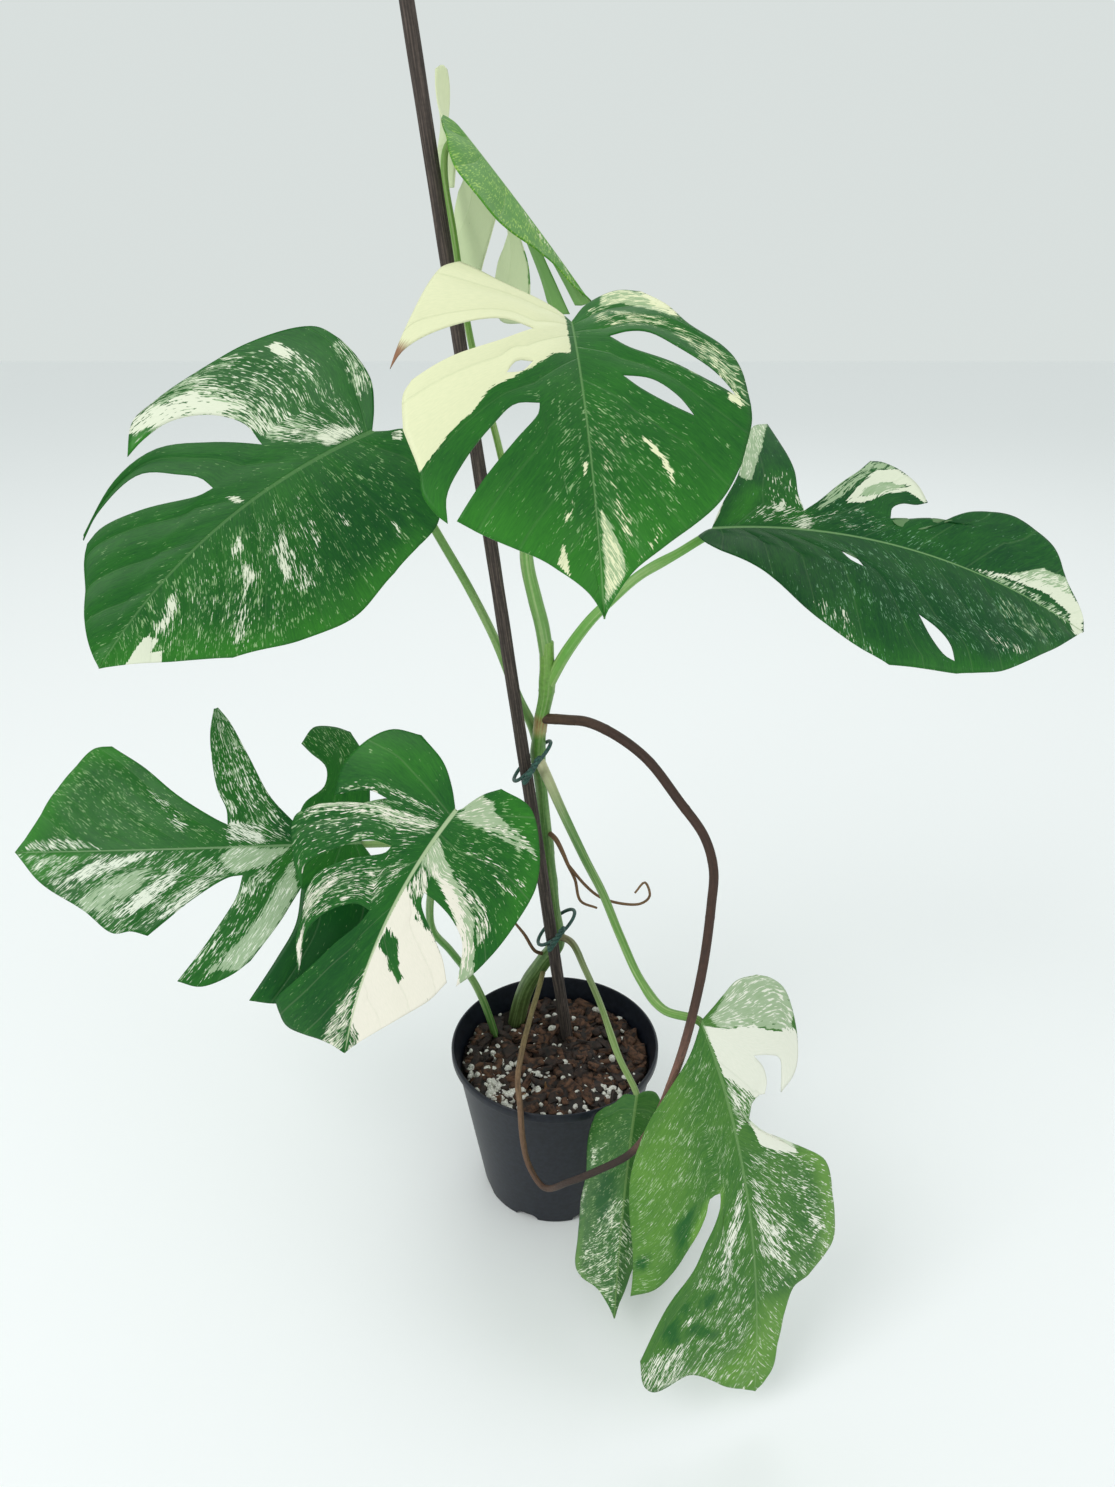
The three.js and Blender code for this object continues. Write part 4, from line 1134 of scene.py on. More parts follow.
@dataclass(frozen=True)
class LeafSkin:
    """Living monstera leaf: waxy, satin skin with cream sectors and streaks.

    Half gloss gives the broad grey sheen along the ridges. Cells without green
    show cream or, under a thin green layer, mint; they run out along the veins.
    """

    name: str
    length: float
    deep: int = 0x064A17
    fresh: int = 0x338022
    cream: int = 0xE9ECD6
    mint: int = 0x86A878
    fleck: int = 0xA4C58C
    rib: int = 0x7CA668
    dry: int = 0x946A50
    rib_width: float = 0.9
    rib_cover: float = 0.35
    vein_cover: float = 0.08
    spread: float = 1.5
    roughness: float = 0.4
    gloss: float = 0.22
    back: int = 0x9FBC8C
    back_cover: float = 0.35
    back_roughness: float = 0.6

    def grains(self, tree: Tree, flow: Socket) -> list[Socket]:
        """Makes streaks that run out along the veins, from tiny to broad.

        Args:
            tree: Node tree of the material.
            flow: Flow coordinate in millimetres, across and along the veins.

        Returns:
            Noise around one half for each size of streak.
        """
        found = []
        for wide, long in ((0.6, 4.0), (0.9, 9.0), (1.2, 12.0), (4.0, 36.0), (0.7, 5.0)):
            shift = 7.0 * len(found)
            sized = put(tree, "Mapping", {
                "Vector": flow, "Scale": (1 / wide, 1 / long, 1), "Location": (shift, 2 * shift, shift),
            })
            made = put(tree, "TexNoise", {"Vector": sized.outputs[0], "Scale": 1.0, "Detail": 2.0})
            found.append(made.outputs[0])
        return found

    def mask(
        self, tree: Tree, amount: Socket, noises: list[tuple[Socket, float]], edge: float = 0.03
    ) -> Socket:
        """Breaks a soft area into crisp streaks.

        Args:
            tree: Node tree of the material.
            amount: Share of the area that is covered.
            noises: Noises around one half, with their weights.
            edge: Half width of the step from bare to covered.

        Returns:
            Mask from 0 to 1.
        """
        total = weighed(tree, noises + [(amount, 1.0)], -sum(weight for _, weight in noises) / 2)
        made = put(tree, "MapRange", {"Value": total, "From Min": 0.5 - edge, "From Max": 0.5 + edge},
            interpolation_type="SMOOTHSTEP")
        return made.outputs[0]

    def materials(self) -> list[bpy.types.Material]:
        """Upper skin and underside."""
        return [self.material(False), self.material(True)]

    def material(self, under: bool) -> bpy.types.Material:
        """Builds the skin of one face of the leaf.

        Args:
            under: True for the paler, duller underside.

        Returns:
            The material.
        """
        made, tree, shader = new_material(f"leaf_{'underside' if under else 'skin'}_{self.name}")
        plane, flow, vein = (
            put(tree, "UVMap", uv_map=name).outputs[0] for name in ("plane", "flow", "vein")
        )
        marks = put(tree, "Attribute", attribute_name="marks")
        dry = put(tree, "Attribute", attribute_name="dry").outputs["Fac"]
        creamy, minty, flecked = put(tree, "SeparateColor", {0: marks.outputs["Color"]}).outputs
        tiny, fine, other, broad, speck = self.grains(tree, flow)
        blots, cloud = (
            put(tree, "TexNoise", {"Vector": plane, "Scale": 1 / size, "Detail": 3.0}).outputs[0]
            for size in (8.0, 38.0)
        )
        spread = self.spread
        rough = [(broad, 0.3 * spread), (blots, 0.2 * spread), (tiny, 0.55 * spread)]
        streaks, others = [*rough, (fine, 0.8 * spread)], [*rough, (other, 0.8 * spread)]
        cream, haze = (self.mask(tree, creamy, streaks, edge) for edge in (0.03, 0.16))
        mint, veil = (self.mask(tree, minty, others, edge) for edge in (0.03, 0.2))
        fleck = self.mask(tree, flecked, [(speck, 2.2), (blots, 0.8), (broad, 0.5)], 0.06)
        greens = [(cloud, 0.5), (broad, 0.4), (fine, 0.5), (tiny, 0.5)]
        tone = weighed(tree, [*greens, (marks.outputs["Alpha"], 1.0)], -0.95)
        tone = put(tree, "Clamp", {0: tone}).outputs[0]
        pale = [
            put(tree, "Mix", {0: share, 6: linear(low), 7: linear(high)}, data_type="RGBA").outputs[2]
            for share, low, high in ((fine, self.mint, self.cream), (tiny, self.cream, self.mint))
        ]
        rib, lines = self.midrib(tree, plane), self.side_veins(tree, vein)
        colour = linear(self.deep)
        layers = [
            (tone, 1.0, linear(self.fresh)), (veil, 0.3, linear(self.mint)),
            (haze, 0.35, linear(self.mint)), (fleck, 0.65, linear(self.fleck)),
            (mint, 1.0, linear(self.mint)), (mint, 0.4, pale[0]), (cream, 1.0, linear(self.cream)),
            (cream, 0.2, pale[1]), (lines, self.vein_cover, linear(self.rib)),
            (rib, self.rib_cover, linear(self.rib)), (dry, 1.0, linear(self.dry)),
        ]
        for share, cover, upper in layers:
            part = put(tree, "Math", {0: share, 1: cover}, operation="MULTIPLY").outputs[0]
            colour = put(tree, "Mix", {0: part, 6: colour, 7: upper}, data_type="RGBA").outputs[2]
        if under:
            colour = put(tree, "Mix", {0: self.back_cover, 6: colour, 7: linear(self.back)},
                data_type="RGBA").outputs[2]
        tree.links.new(colour, shader.inputs["Base Color"])
        roughness = self.back_roughness if under else self.roughness
        shader.inputs["Roughness"].default_value = roughness
        shader.inputs["Specular IOR Level"].default_value = self.gloss
        sign = -1 if under else 1
        height = weighed(tree, [(lines, -0.6 * sign), (rib, -1.2 * sign), (fine, 0.3)], 0.0)
        bump = put(tree, "Bump", {"Height": height, "Distance": 0.4 * MM, "Strength": 0.6})
        tree.links.new(bump.outputs[0], shader.inputs["Normal"])
        return made

    def side_veins(self, tree: Tree, vein: Socket) -> Socket:
        """Fine lines along the side veins, about 1 mm wide.

        Args:
            tree: Node tree of the material.
            vein: Vein coordinate and the veins' distance from one another.

        Returns:
            Mask from 0 to 1.
        """
        count, apart, _ = put(tree, "SeparateXYZ", {0: vein}).outputs
        off = put(tree, "Math", {0: count}, operation="FRACT").outputs[0]
        off = put(tree, "Math", {0: off, 1: 0.5}, operation="SUBTRACT").outputs[0]
        off = put(tree, "Math", {0: off}, operation="ABSOLUTE").outputs[0]
        off = put(tree, "Math", {0: off, 1: apart}, operation="MULTIPLY").outputs[0]
        made = put(tree, "MapRange", {"Value": off, "From Min": 0.9, "From Max": 0.1},
            interpolation_type="SMOOTHSTEP")
        return made.outputs[0]

    def midrib(self, tree: Tree, plane: Socket) -> Socket:
        """Pale line of the midrib, narrower towards the tip.

        Args:
            tree: Node tree of the material.
            plane: Station and signed distance out, in millimetres.

        Returns:
            Mask from 0 to 1.
        """
        station, away, _ = put(tree, "SeparateXYZ", {0: plane}).outputs
        width = put(tree, "MapRange", {
            "Value": station, "From Min": 0.0, "From Max": self.length,
            "To Min": self.rib_width, "To Max": 0.3,
        }).outputs[0]
        off = put(tree, "Math", {0: away}, operation="ABSOLUTE").outputs[0]
        off = put(tree, "Math", {0: width, 1: off}, operation="SUBTRACT").outputs[0]
        made = put(tree, "MapRange", {"Value": off, "From Min": -0.4, "From Max": 0.3},
            interpolation_type="SMOOTHSTEP")
        return made.outputs[0]


@dataclass(frozen=True)
class GrownSkin:
    """Skin of a stem, stalk or root: its colour changes along it, in long streaks.

    Fine lengthwise grain and small mottled spots give a grown, slightly corky look.
    """

    name: str
    stops: tuple[tuple[float, int], ...]
    streak: int
    amount: float = 0.35
    wide: float = 1.2
    long: float = 26.0
    roughness: float = 0.5
    rough_bump: float = 0.25
    bump_depth: float = 0.6
    mottle: float = 0.2
    spot: float = 2.5

    def material(self) -> bpy.types.Material:
        """Builds the material from the stops, which are in millimetres along.

        Returns:
            The material.
        """
        made, tree, shader = new_material(self.name)
        skin = put(tree, "UVMap", uv_map="skin").outputs[0]
        parts = put(tree, "SeparateXYZ", {0: skin})
        ends = self.stops[0][0], self.stops[-1][0]
        share = put(tree, "MapRange", {
            "Value": parts.outputs[1], "From Min": ends[0], "From Max": ends[1],
        }).outputs[0]
        ramp = put(tree, "ValToRGB", {0: share})
        band = ramp.color_ramp.elements
        band[0].color, band[1].color = linear(self.stops[0][1]), linear(self.stops[-1][1])
        for place, colour in self.stops[1:-1]:
            band.new((place - ends[0]) / (ends[1] - ends[0])).color = linear(colour)
        sized = put(tree, "Mapping", {"Vector": skin, "Scale": (1 / self.wide, 1 / self.long, 1)})
        grain = put(tree, "TexNoise", {"Vector": sized.outputs[0], "Scale": 1.0, "Detail": 3.0})
        spots = put(tree, "TexNoise", {"Vector": skin, "Scale": 1 / self.spot, "Detail": 3.0})
        cover = put(tree, "MapRange", {
            "Value": grain.outputs[0], "From Min": 0.45, "From Max": 0.65, "To Max": self.amount,
        }).outputs[0]
        colour = put(tree, "Mix", {0: cover, 6: ramp.outputs[0], 7: linear(self.streak)},
            data_type="RGBA").outputs[2]
        shade = put(tree, "MapRange", {
            "Value": spots.outputs[0], "From Min": 0.3, "From Max": 0.7,
            "To Min": 1 - self.mottle, "To Max": 1 + self.mottle / 2,
        }).outputs[0]
        colour = put(tree, "VectorMath", {0: colour, "Scale": shade}, operation="SCALE").outputs[0]
        tree.links.new(colour, shader.inputs["Base Color"])
        shader.inputs["Roughness"].default_value = self.roughness
        height = put(tree, "Math", {0: grain.outputs[0], 1: spots.outputs[0]}, operation="ADD")
        bump = put(tree, "Bump", {
            "Height": height.outputs[0], "Distance": self.bump_depth * MM,
            "Strength": self.rough_bump,
        })
        tree.links.new(bump.outputs[0], shader.inputs["Normal"])
        return made


@dataclass(frozen=True)
class Matter:
    """Solid stuff with mottled colour and a grainy surface, on Object coordinates.

    Two shades and a bump of one size give it dust, pores or grain.
    """

    name: str
    dark: int
    light: int
    size: float
    stretch: tuple[float, float, float] = (1.0, 1.0, 1.0)
    roughness: float = 0.8
    bump: float = 0.4
    gloss: float = 0.5

    def material(self) -> bpy.types.Material:
        """Builds the material; size is that of one patch, in millimetres.

        Returns:
            The material.
        """
        made, tree, shader = new_material(self.name)
        where = put(tree, "TexCoord").outputs["Object"]
        sized = put(tree, "Mapping", {"Vector": where, "Scale": self.stretch}).outputs[0]
        patches = put(tree, "TexNoise", {
            "Vector": sized, "Scale": 1 / (self.size * MM), "Detail": 4.0,
        }).outputs[0]
        share = put(tree, "MapRange", {"Value": patches, "From Min": 0.35, "From Max": 0.65})
        colour = put(tree, "Mix", {
            0: share.outputs[0], 6: linear(self.dark), 7: linear(self.light),
        }, data_type="RGBA").outputs[2]
        tree.links.new(colour, shader.inputs["Base Color"])
        shader.inputs["Roughness"].default_value = self.roughness
        shader.inputs["Specular IOR Level"].default_value = self.gloss
        bump = put(tree, "Bump", {
            "Height": patches, "Distance": self.size * MM / 4, "Strength": self.bump,
        })
        tree.links.new(bump.outputs[0], shader.inputs["Normal"])
        return made


@dataclass
class Pot:
    """Round plastic nursery pot with a banded rim, notched foot and drains."""

    height: float = 123.0
    rim_radius: float = 75.0
    rim_band: float = 7.0
    base_radius: float = 53.5
    body_top: float = 71.8
    wall: float = 1.5
    floor: float = 2.0
    steps: int = 144
    notches: int = 8
    notch_size: tuple[float, float, float] = (16.0, 8.5, 6.0)
    drains: int = 4
    drain_radius: float = 4.5
    drain_circle: float = 26.0
    sharp_angle: float = 35.0

    def wall_at(self, z: float) -> float:
        """Outer radius of the body at a height."""
        rise = (self.body_top - self.base_radius) / (self.height - self.rim_band)
        return self.base_radius + rise * z

    def profile(self) -> Points:
        """Draws the half section, from the underside's centre round to the floor's.

        Returns:
            Its points as [radius, height].
        """
        top, band, rim = self.height, self.height - self.rim_band, self.rim_radius
        outer = [[self.wall_at(z), z] for z in (0.8, 6, 20, 40, 60, 80, 98, 110, band - 0.4)]
        lip = [
            [self.body_top + 0.8, band], [rim - 0.8, band + 0.3], [rim - 0.2, band + 0.6],
            [rim, band + 1.2], [rim, top - 1.4], [rim - 0.3, top - 0.5], [rim - 0.9, top],
            [rim - 1.6, top], [rim - 2.1, top - 0.5], [rim - 2.3, top - 1.5],
        ]
        low, high = self.floor, band - 2
        inner = [[self.wall_at(z) - self.wall, z] for z in (high, 90, 60, 30, low + 0.6)]
        foot = [[0, 0], [self.base_radius - 1, 0]]
        floor = [[self.wall_at(low) - self.wall - 0.6, low], [0, low]]
        return foot + outer + lip + inner + floor

    def cutters(self) -> bpy.types.Object:
        """Joins the shapes that the notches and drains take away.

        Returns:
            One object with all of them.
        """
        bm = bmesh.new()
        for i in range(self.notches):
            turn = Matrix.Rotation((i + 0.5) / self.notches * 2 * math.pi, 4, "Z")
            size = Matrix.Diagonal((*(MM * v for v in self.notch_size), 1))
            place = Matrix.Translation((self.base_radius * MM, 0, 0))
            lying = Matrix.Rotation(math.pi / 2, 4, "Y")
            bmesh.ops.create_cone(bm, cap_ends=True, segments=24, radius1=1, radius2=1, depth=2,
                matrix=turn @ place @ size @ lying)
        for i in range(self.drains):
            turn = Matrix.Rotation(i / self.drains * 2 * math.pi, 4, "Z")
            place = Matrix.Translation((self.drain_circle * MM, 0, 0))
            radius = self.drain_radius * MM
            bmesh.ops.create_cone(bm, cap_ends=True, segments=24, radius1=radius, radius2=radius,
                depth=4 * self.floor * MM, matrix=turn @ place)
        mesh = bpy.data.meshes.new("cutters")
        bm.to_mesh(mesh)
        bm.free()
        cutters = bpy.data.objects.new("cutters", mesh)
        bpy.context.scene.collection.objects.link(cutters)
        return cutters

    def build(self) -> bpy.types.Object:
        """Spins the section and cuts the notches and drains.

        Returns:
            The pot.
        """
        bm = spin_section(self.profile(), self.steps)
        # Moulded plastic: nearly black, with weak, soft highlights on an almost smooth wall.
        plastic = Matter("moulded_polypropylene", 0x10141D, 0x1A1F2A, 3.0, roughness=0.42,
            bump=0.08, gloss=0.3)
        piece = new_piece(bm, "nursery_pot", [plastic.material()], ("pot",))
        cutters = self.cutters()
        cut = piece.modifiers.new("cut", "BOOLEAN")
        cut.object = cutters
        cut.operation = "DIFFERENCE"
        cut.solver = "EXACT"
        whole = piece.evaluated_get(bpy.context.evaluated_depsgraph_get())
        piece.data = bpy.data.meshes.new_from_object(whole)
        piece.modifiers.clear()
        bpy.data.objects.remove(cutters)
        piece.data.set_sharp_from_angle(angle=self.sharp_angle * DEGREE)
        return piece


# Colours of each stalk at its foot, a quarter of the way along and under the blade.
STALK_COLOURS: dict[str, tuple[int, int, int]] = {
    "crown": (0x6C9650, 0x689C47, 0x6F9F4C),
    "left": (0x6C9650, 0x689C47, 0x6F9F4C),
    "right": (0x7AA64C, 0x64A33F, 0x64A33F),
    "lowmid": (0x5C8A3C, 0x4E8638, 0x5A8F44),
    "lowleft": (0x6C9650, 0x689C47, 0x7FA35C),
    "lowright": (0xD2CCA6, 0x4E7E38, 0x62923A),
    "front": (0xA08A70, 0x62703E, 0x708E48),
    "top": (0x6C9A3C, 0x6C9A3C, 0x6C9A3C),
}

# How fresh each leaf's green is, from 0, deep, to 1, fresh.
TONES: dict[str, float] = {
    "crown": 0.35, "left": 0.3, "right": 0.15, "lowmid": 0.25, "lowleft": 0.35,
    "lowright": 0.35, "front": 0.3, "top": 0.7,
}

# Where each leaf's skin differs from the common one.
LOOKS: dict[str, dict[str, float]] = {
    "crown": {"cream": 0xEFEFC6, "rib_cover": 0.5, "rib_width": 0.7},
    "left": {"rib_cover": 0.25, "rib_width": 1.2},
    "right": {"deep": 0x03451B, "rib": 0x8DB87A, "rib_cover": 0.6, "fleck": 0x86B490},
    "lowmid": {"cream": 0xF4ECDF, "rib": 0xB9CBA0, "rib_cover": 0.8, "rib_width": 1.2},
    "lowleft": {"cream": 0xE8ECDC, "mint": 0x7FA272, "rib": 0x8FAE80, "rib_cover": 0.5},
    "lowright": {"deep": 0x1F5C24, "fresh": 0x66953C, "fleck": 0xAAC294, "cream": 0xF0EFE2,
        "mint": 0x88A878, "rib": 0x94B57C, "rib_cover": 0.3},
    "front": {"deep": 0x1E5823, "fresh": 0x5F8C40, "fleck": 0xA9C28C, "rib": 0x8FAE6A},
    "top": {"cream": 0xE2E8BE, "deep": 0x246C14, "fresh": 0x58982A, "fleck": 0xA8CE58,
        "rib": 0xC9D9A0, "roughness": 0.5},
}

SKINS: dict[str, LeafSkin] = {
    name: LeafSkin(name, form.length, **LOOKS[name]) for name, form in LEAVES.items()
}

# Markings of each leaf; a later one lies over the earlier ones.
MARKS: dict[str, list[Mark]] = {}
MARKS["crown"] = [
    Mark({FRESH: 0.75}, 14, [[118, 95], [150, 60], [180, 0], [140, -50], [112, -66], [118, -30],
        [140, 0], [116, 50]]),
    Mark({CREAM: 1}, 1, [[-25, 64], [-10, 4], [30, 4], [34, 12], [50, 27], [59, 37],
        [68, 49], [80, 57], [86, 64], [108, 81], [95, 105], [40, 105]]),
    Mark({CREAM: 0.9}, 1, [[97, 2], [105, 3], [105, 5], [98, 4]]),
    Mark({CREAM: 0.7}, 1, [[140, 17], [150, 21], [156, 15], [148, 15]]),
    Mark({CREAM: 0.5}, 1.5, [[116, 10], [128, 12], [138, 17], [124, 16]]),
    Mark({FLECK: 0.2}, 10, [[60, 22], [135, 22], [155, -8], [120, -48], [80, -42], [55, -12]]),
    Mark({CREAM: 0.3, MINT: 0.2}, 4, [[60, -1], [100, -1], [138, -13], [120, -16], [66, -6]]),
    Mark({CREAM: 0.8}, 1, [[85, -24], [92, -27], [100, -32], [115, -38], [103, -37], [92, -31]]),
    Mark({CREAM: 0.6}, 1.5, [[79, -12], [92, -17], [86, -18]]),
    Mark({CREAM: 0.5, MINT: 0.9}, 1.5, [[122, -2], [168, -1], [156, -11], [146, -11],
        [132, -7]]),
    Mark({CREAM: 0.42}, 2, [[115, -9], [135, -10], [146, -14], [130, -16]]),
    Mark({CREAM: 0.42}, 2, [[130, -30], [142, -22], [152, -12], [150, -20], [140, -28]]),
    Mark({CREAM: 0.45, MINT: 0.8}, 2, [[-25, -30], [-20, -17], [-8, -16], [-10, -28],
        [-2, -38], [9, -54], [-15, -43]]),
    Mark({CREAM: 0.75}, 1.5, [[-22, -37], [-12, -41], [0, -47], [10, -56], [-4, -52], [-18, -46]]),
    Mark({CREAM: 0.38, MINT: 0.36}, 3, [[-14, -6], [8, -12], [12, -30], [18, -52], [4, -46],
        [-5, -24]]),
    Mark({CREAM: 0.38, MINT: 0.46}, 3, [[10, -46], [28, -54], [62, -71], [74, -82], [40, -82],
        [26, -70]]),
    Mark({CREAM: 0.8}, 1, [[59, -71], [65, -69], [71, -75], [66, -77]]),
    Mark({MINT: 0.36}, 3, [[38, -33], [54, -50], [66, -70], [54, -64], [40, -48]]),
    Mark({DRY: 1}, 1, [[47, 92], [50, 86], [62, 92], [60, 96], [48, 94]]),
]
MARKS["left"] = [
    Mark({FRESH: 0.85}, 12, [[0, -64], [70, -79], [118, -70], [150, -46], [182, -12], [205, 4],
        [218, 0], [150, -80], [80, -98], [0, -82]]),
    Mark({FRESH: 0.05}, 12, [[-12, -10], [50, -15], [75, -60], [40, -62], [-5, -55]]),
    Mark({CREAM: 0.31, MINT: 0.31}, 3, [[1, 2], [7, 26], [14, 58], [26, 72], [50, 80], [66, 81],
        [104, 82], [113, 70], [96, 66], [80, 58], [66, 44], [58, 28], [40, 10], [20, 2]]),
    Mark({CREAM: 0.46, MINT: 0.5}, 3, [[22, 4], [34, 24], [48, 44], [58, 62], [66, 80],
        [104, 81], [112, 72], [96, 66], [80, 58], [66, 44], [58, 28], [40, 12]]),
    Mark({CREAM: 0.7}, 1.5, [[62, 52], [70, 64], [76, 78], [103, 81], [110, 73], [98, 67],
        [82, 60], [68, 48]]),
    Mark({CREAM: 0.2, MINT: 0.5}, 2, [[72, 73], [84, 75], [92, 79], [74, 81]]),
    Mark({CREAM: 0.62}, 1.5, [[4, 2], [26, 2], [30, 10], [22, 14], [12, 8]]),
    Mark({CREAM: 0.7}, 1, [[25, 58], [33, 70], [28, 72], [22, 62]]),
    Mark({CREAM: 0.38, MINT: 0.42}, 2, [[-10, 22], [1, 18], [6, 55], [-3, 58], [-11, 44]]),
    Mark({CREAM: 0, MINT: 0.3, FRESH: 1}, 1.5, [[97, 65], [117, 65], [109, 73], [102, 71]]),
    Mark({CREAM: 0.2, MINT: 0.4}, 1.5, [[58, 28], [70, 44], [86, 59], [98, 66], [92, 66],
        [74, 54], [60, 38]]),
    Mark({CREAM: 0.7}, 1, [[82, 1], [88, 3], [91, 11], [86, 8]]),
    Mark({CREAM: 0.6}, 1, [[-17, -6], [-9, -4], [-9, -9], [-14, -11]]),
    Mark({FLECK: 0.17}, 8, [[-10, -6], [208, -4], [190, -30], [140, -66], [80, -88], [0, -72]]),
    Mark({FLECK: 0.26}, 10, [[95, -8], [208, 8], [190, -30], [140, -66], [100, -62]]),
    Mark({CREAM: 0.22}, 5, [[50, -8], [100, -10], [122, -25], [126, -62], [70, -62], [50, -30]]),
    Mark({CREAM: 0.24}, 5, [[110, -8], [195, -4], [170, -44], [130, -66], [112, -66]]),
    Mark({CREAM: 0.55}, 3, [[76, -25], [84, -26], [96, -44], [90, -50], [80, -40]]),
    Mark({CREAM: 0.5}, 3, [[72, -42], [82, -45], [90, -56], [82, -60]]),
    Mark({CREAM: 0.5}, 2, [[57, -28], [61, -29], [65, -44], [60, -44]]),
    Mark({CREAM: 0.6}, 2, [[104, -26], [110, -26], [117, -36], [108, -36]]),
    Mark({CREAM: 0.52}, 2, [[97, -11], [110, -15], [108, -21], [100, -17]]),
    Mark({CREAM: 0.55}, 2.5, [[150, -9], [176, -13], [172, -20], [156, -16]]),
    Mark({CREAM: 0.48}, 3, [[120, -36], [150, -50], [151, -58], [130, -50]]),
    Mark({CREAM: 0.5}, 2, [[35, -32], [40, -32], [41, -42], [37, -42]]),
    Mark({CREAM: 0.5}, 2, [[7, -50], [12, -50], [13, -62], [9, -60]]),
    Mark({CREAM: 1}, 0.8, [[180, -12], [202, -11], [190, -28], [182, -24], [187, -19], [178, -18]]),
]
MARKS["right"] = [
    Mark({FRESH: 0.6}, 10, [[60, 72], [110, 90], [185, 66], [224, 28], [234, 34], [190, 86],
        [110, 106], [56, 88]]),
    Mark({FRESH: 0}, 15, [[90, 30], [200, 16], [206, 42], [150, 58], [100, 55]]),
    Mark({FLECK: 0.17}, 8, [[60, 8], [225, 8], [206, 58], [150, 64], [60, 70]]),
    Mark({CREAM: 0.3, FLECK: 0.22}, 3, [[50, 56], [72, 62], [96, 84], [114, 94], [92, 94],
        [60, 76]]),
    Mark({CREAM: 0.6}, 1, [[72, 62], [75, 69], [78, 71], [76, 64]]),
    Mark({CREAM: 0.34}, 2.5, [[172, 42], [206, 42], [200, 53], [176, 51]]),
    Mark({MINT: 0.32, FLECK: 0.22}, 3, [[176, 12], [228, 10], [214, 34], [182, 30]]),
    Mark({CREAM: 1}, 1, [[-9, -7], [1, -3], [6, -11], [10, -21], [4, -17]]),
    Mark({FRESH: 0.75}, 5, [[8, -3], [24, -4], [36, -30], [26, -34]]),
    Mark({CREAM: 0.34, FRESH: 0.4}, 3, [[20, -4], [60, -1], [58, -14], [50, -44], [38, -48],
        [30, -20]]),
    Mark({CREAM: 0.6}, 1.5, [[38, -11], [44, -13], [45, -21], [40, -19]]),
    Mark({CREAM: 0.6}, 1.5, [[50, 0], [60, 0], [64, -14], [56, -9]]),
    Mark({CREAM: 0.4, MINT: 1}, 1.2, [[20, -40], [27, -36], [31, -50], [36, -68], [41, -92],
        [34, -100], [28, -78]]),
    Mark({CREAM: 0.24, FLECK: 0.16}, 3, [[60, -2], [104, -3], [106, -18], [84, -26], [66, -20]]),
    Mark({FLECK: 0.18}, 5, [[100, -2], [160, -2], [134, -16], [110, -14]]),
    Mark({MINT: 0.55}, 2.5, [[60, -14], [72, -19], [86, -36], [98, -58], [112, -58], [110, -68],
        [94, -66], [74, -38]]),
    Mark({CREAM: 0.9}, 1.2, [[80, -25], [92, -27], [104, -38], [116, -45], [128, -38],
        [126, -52], [110, -62], [98, -57], [90, -44]]),
    Mark({CREAM: 0.3, MINT: 1}, 1.2, [[88, -31], [98, -35], [110, -44], [118, -50], [102, -49],
        [91, -40]]),
    Mark({CREAM: 0.36, MINT: 0.5}, 1.5, [[150, -1], [228, 2], [226, -5], [190, -6]]),
    Mark({CREAM: 0.5, MINT: 0.9}, 1.5, [[182, -8], [200, -11], [224, -17], [216, -28],
        [200, -25], [193, -18]]),
    Mark({CREAM: 0.85}, 1.5, [[165, -3], [185, -6], [206, -9], [226, -6], [233, 8], [239, 4],
        [232, -14], [222, -18], [204, -14], [186, -9]]),
]
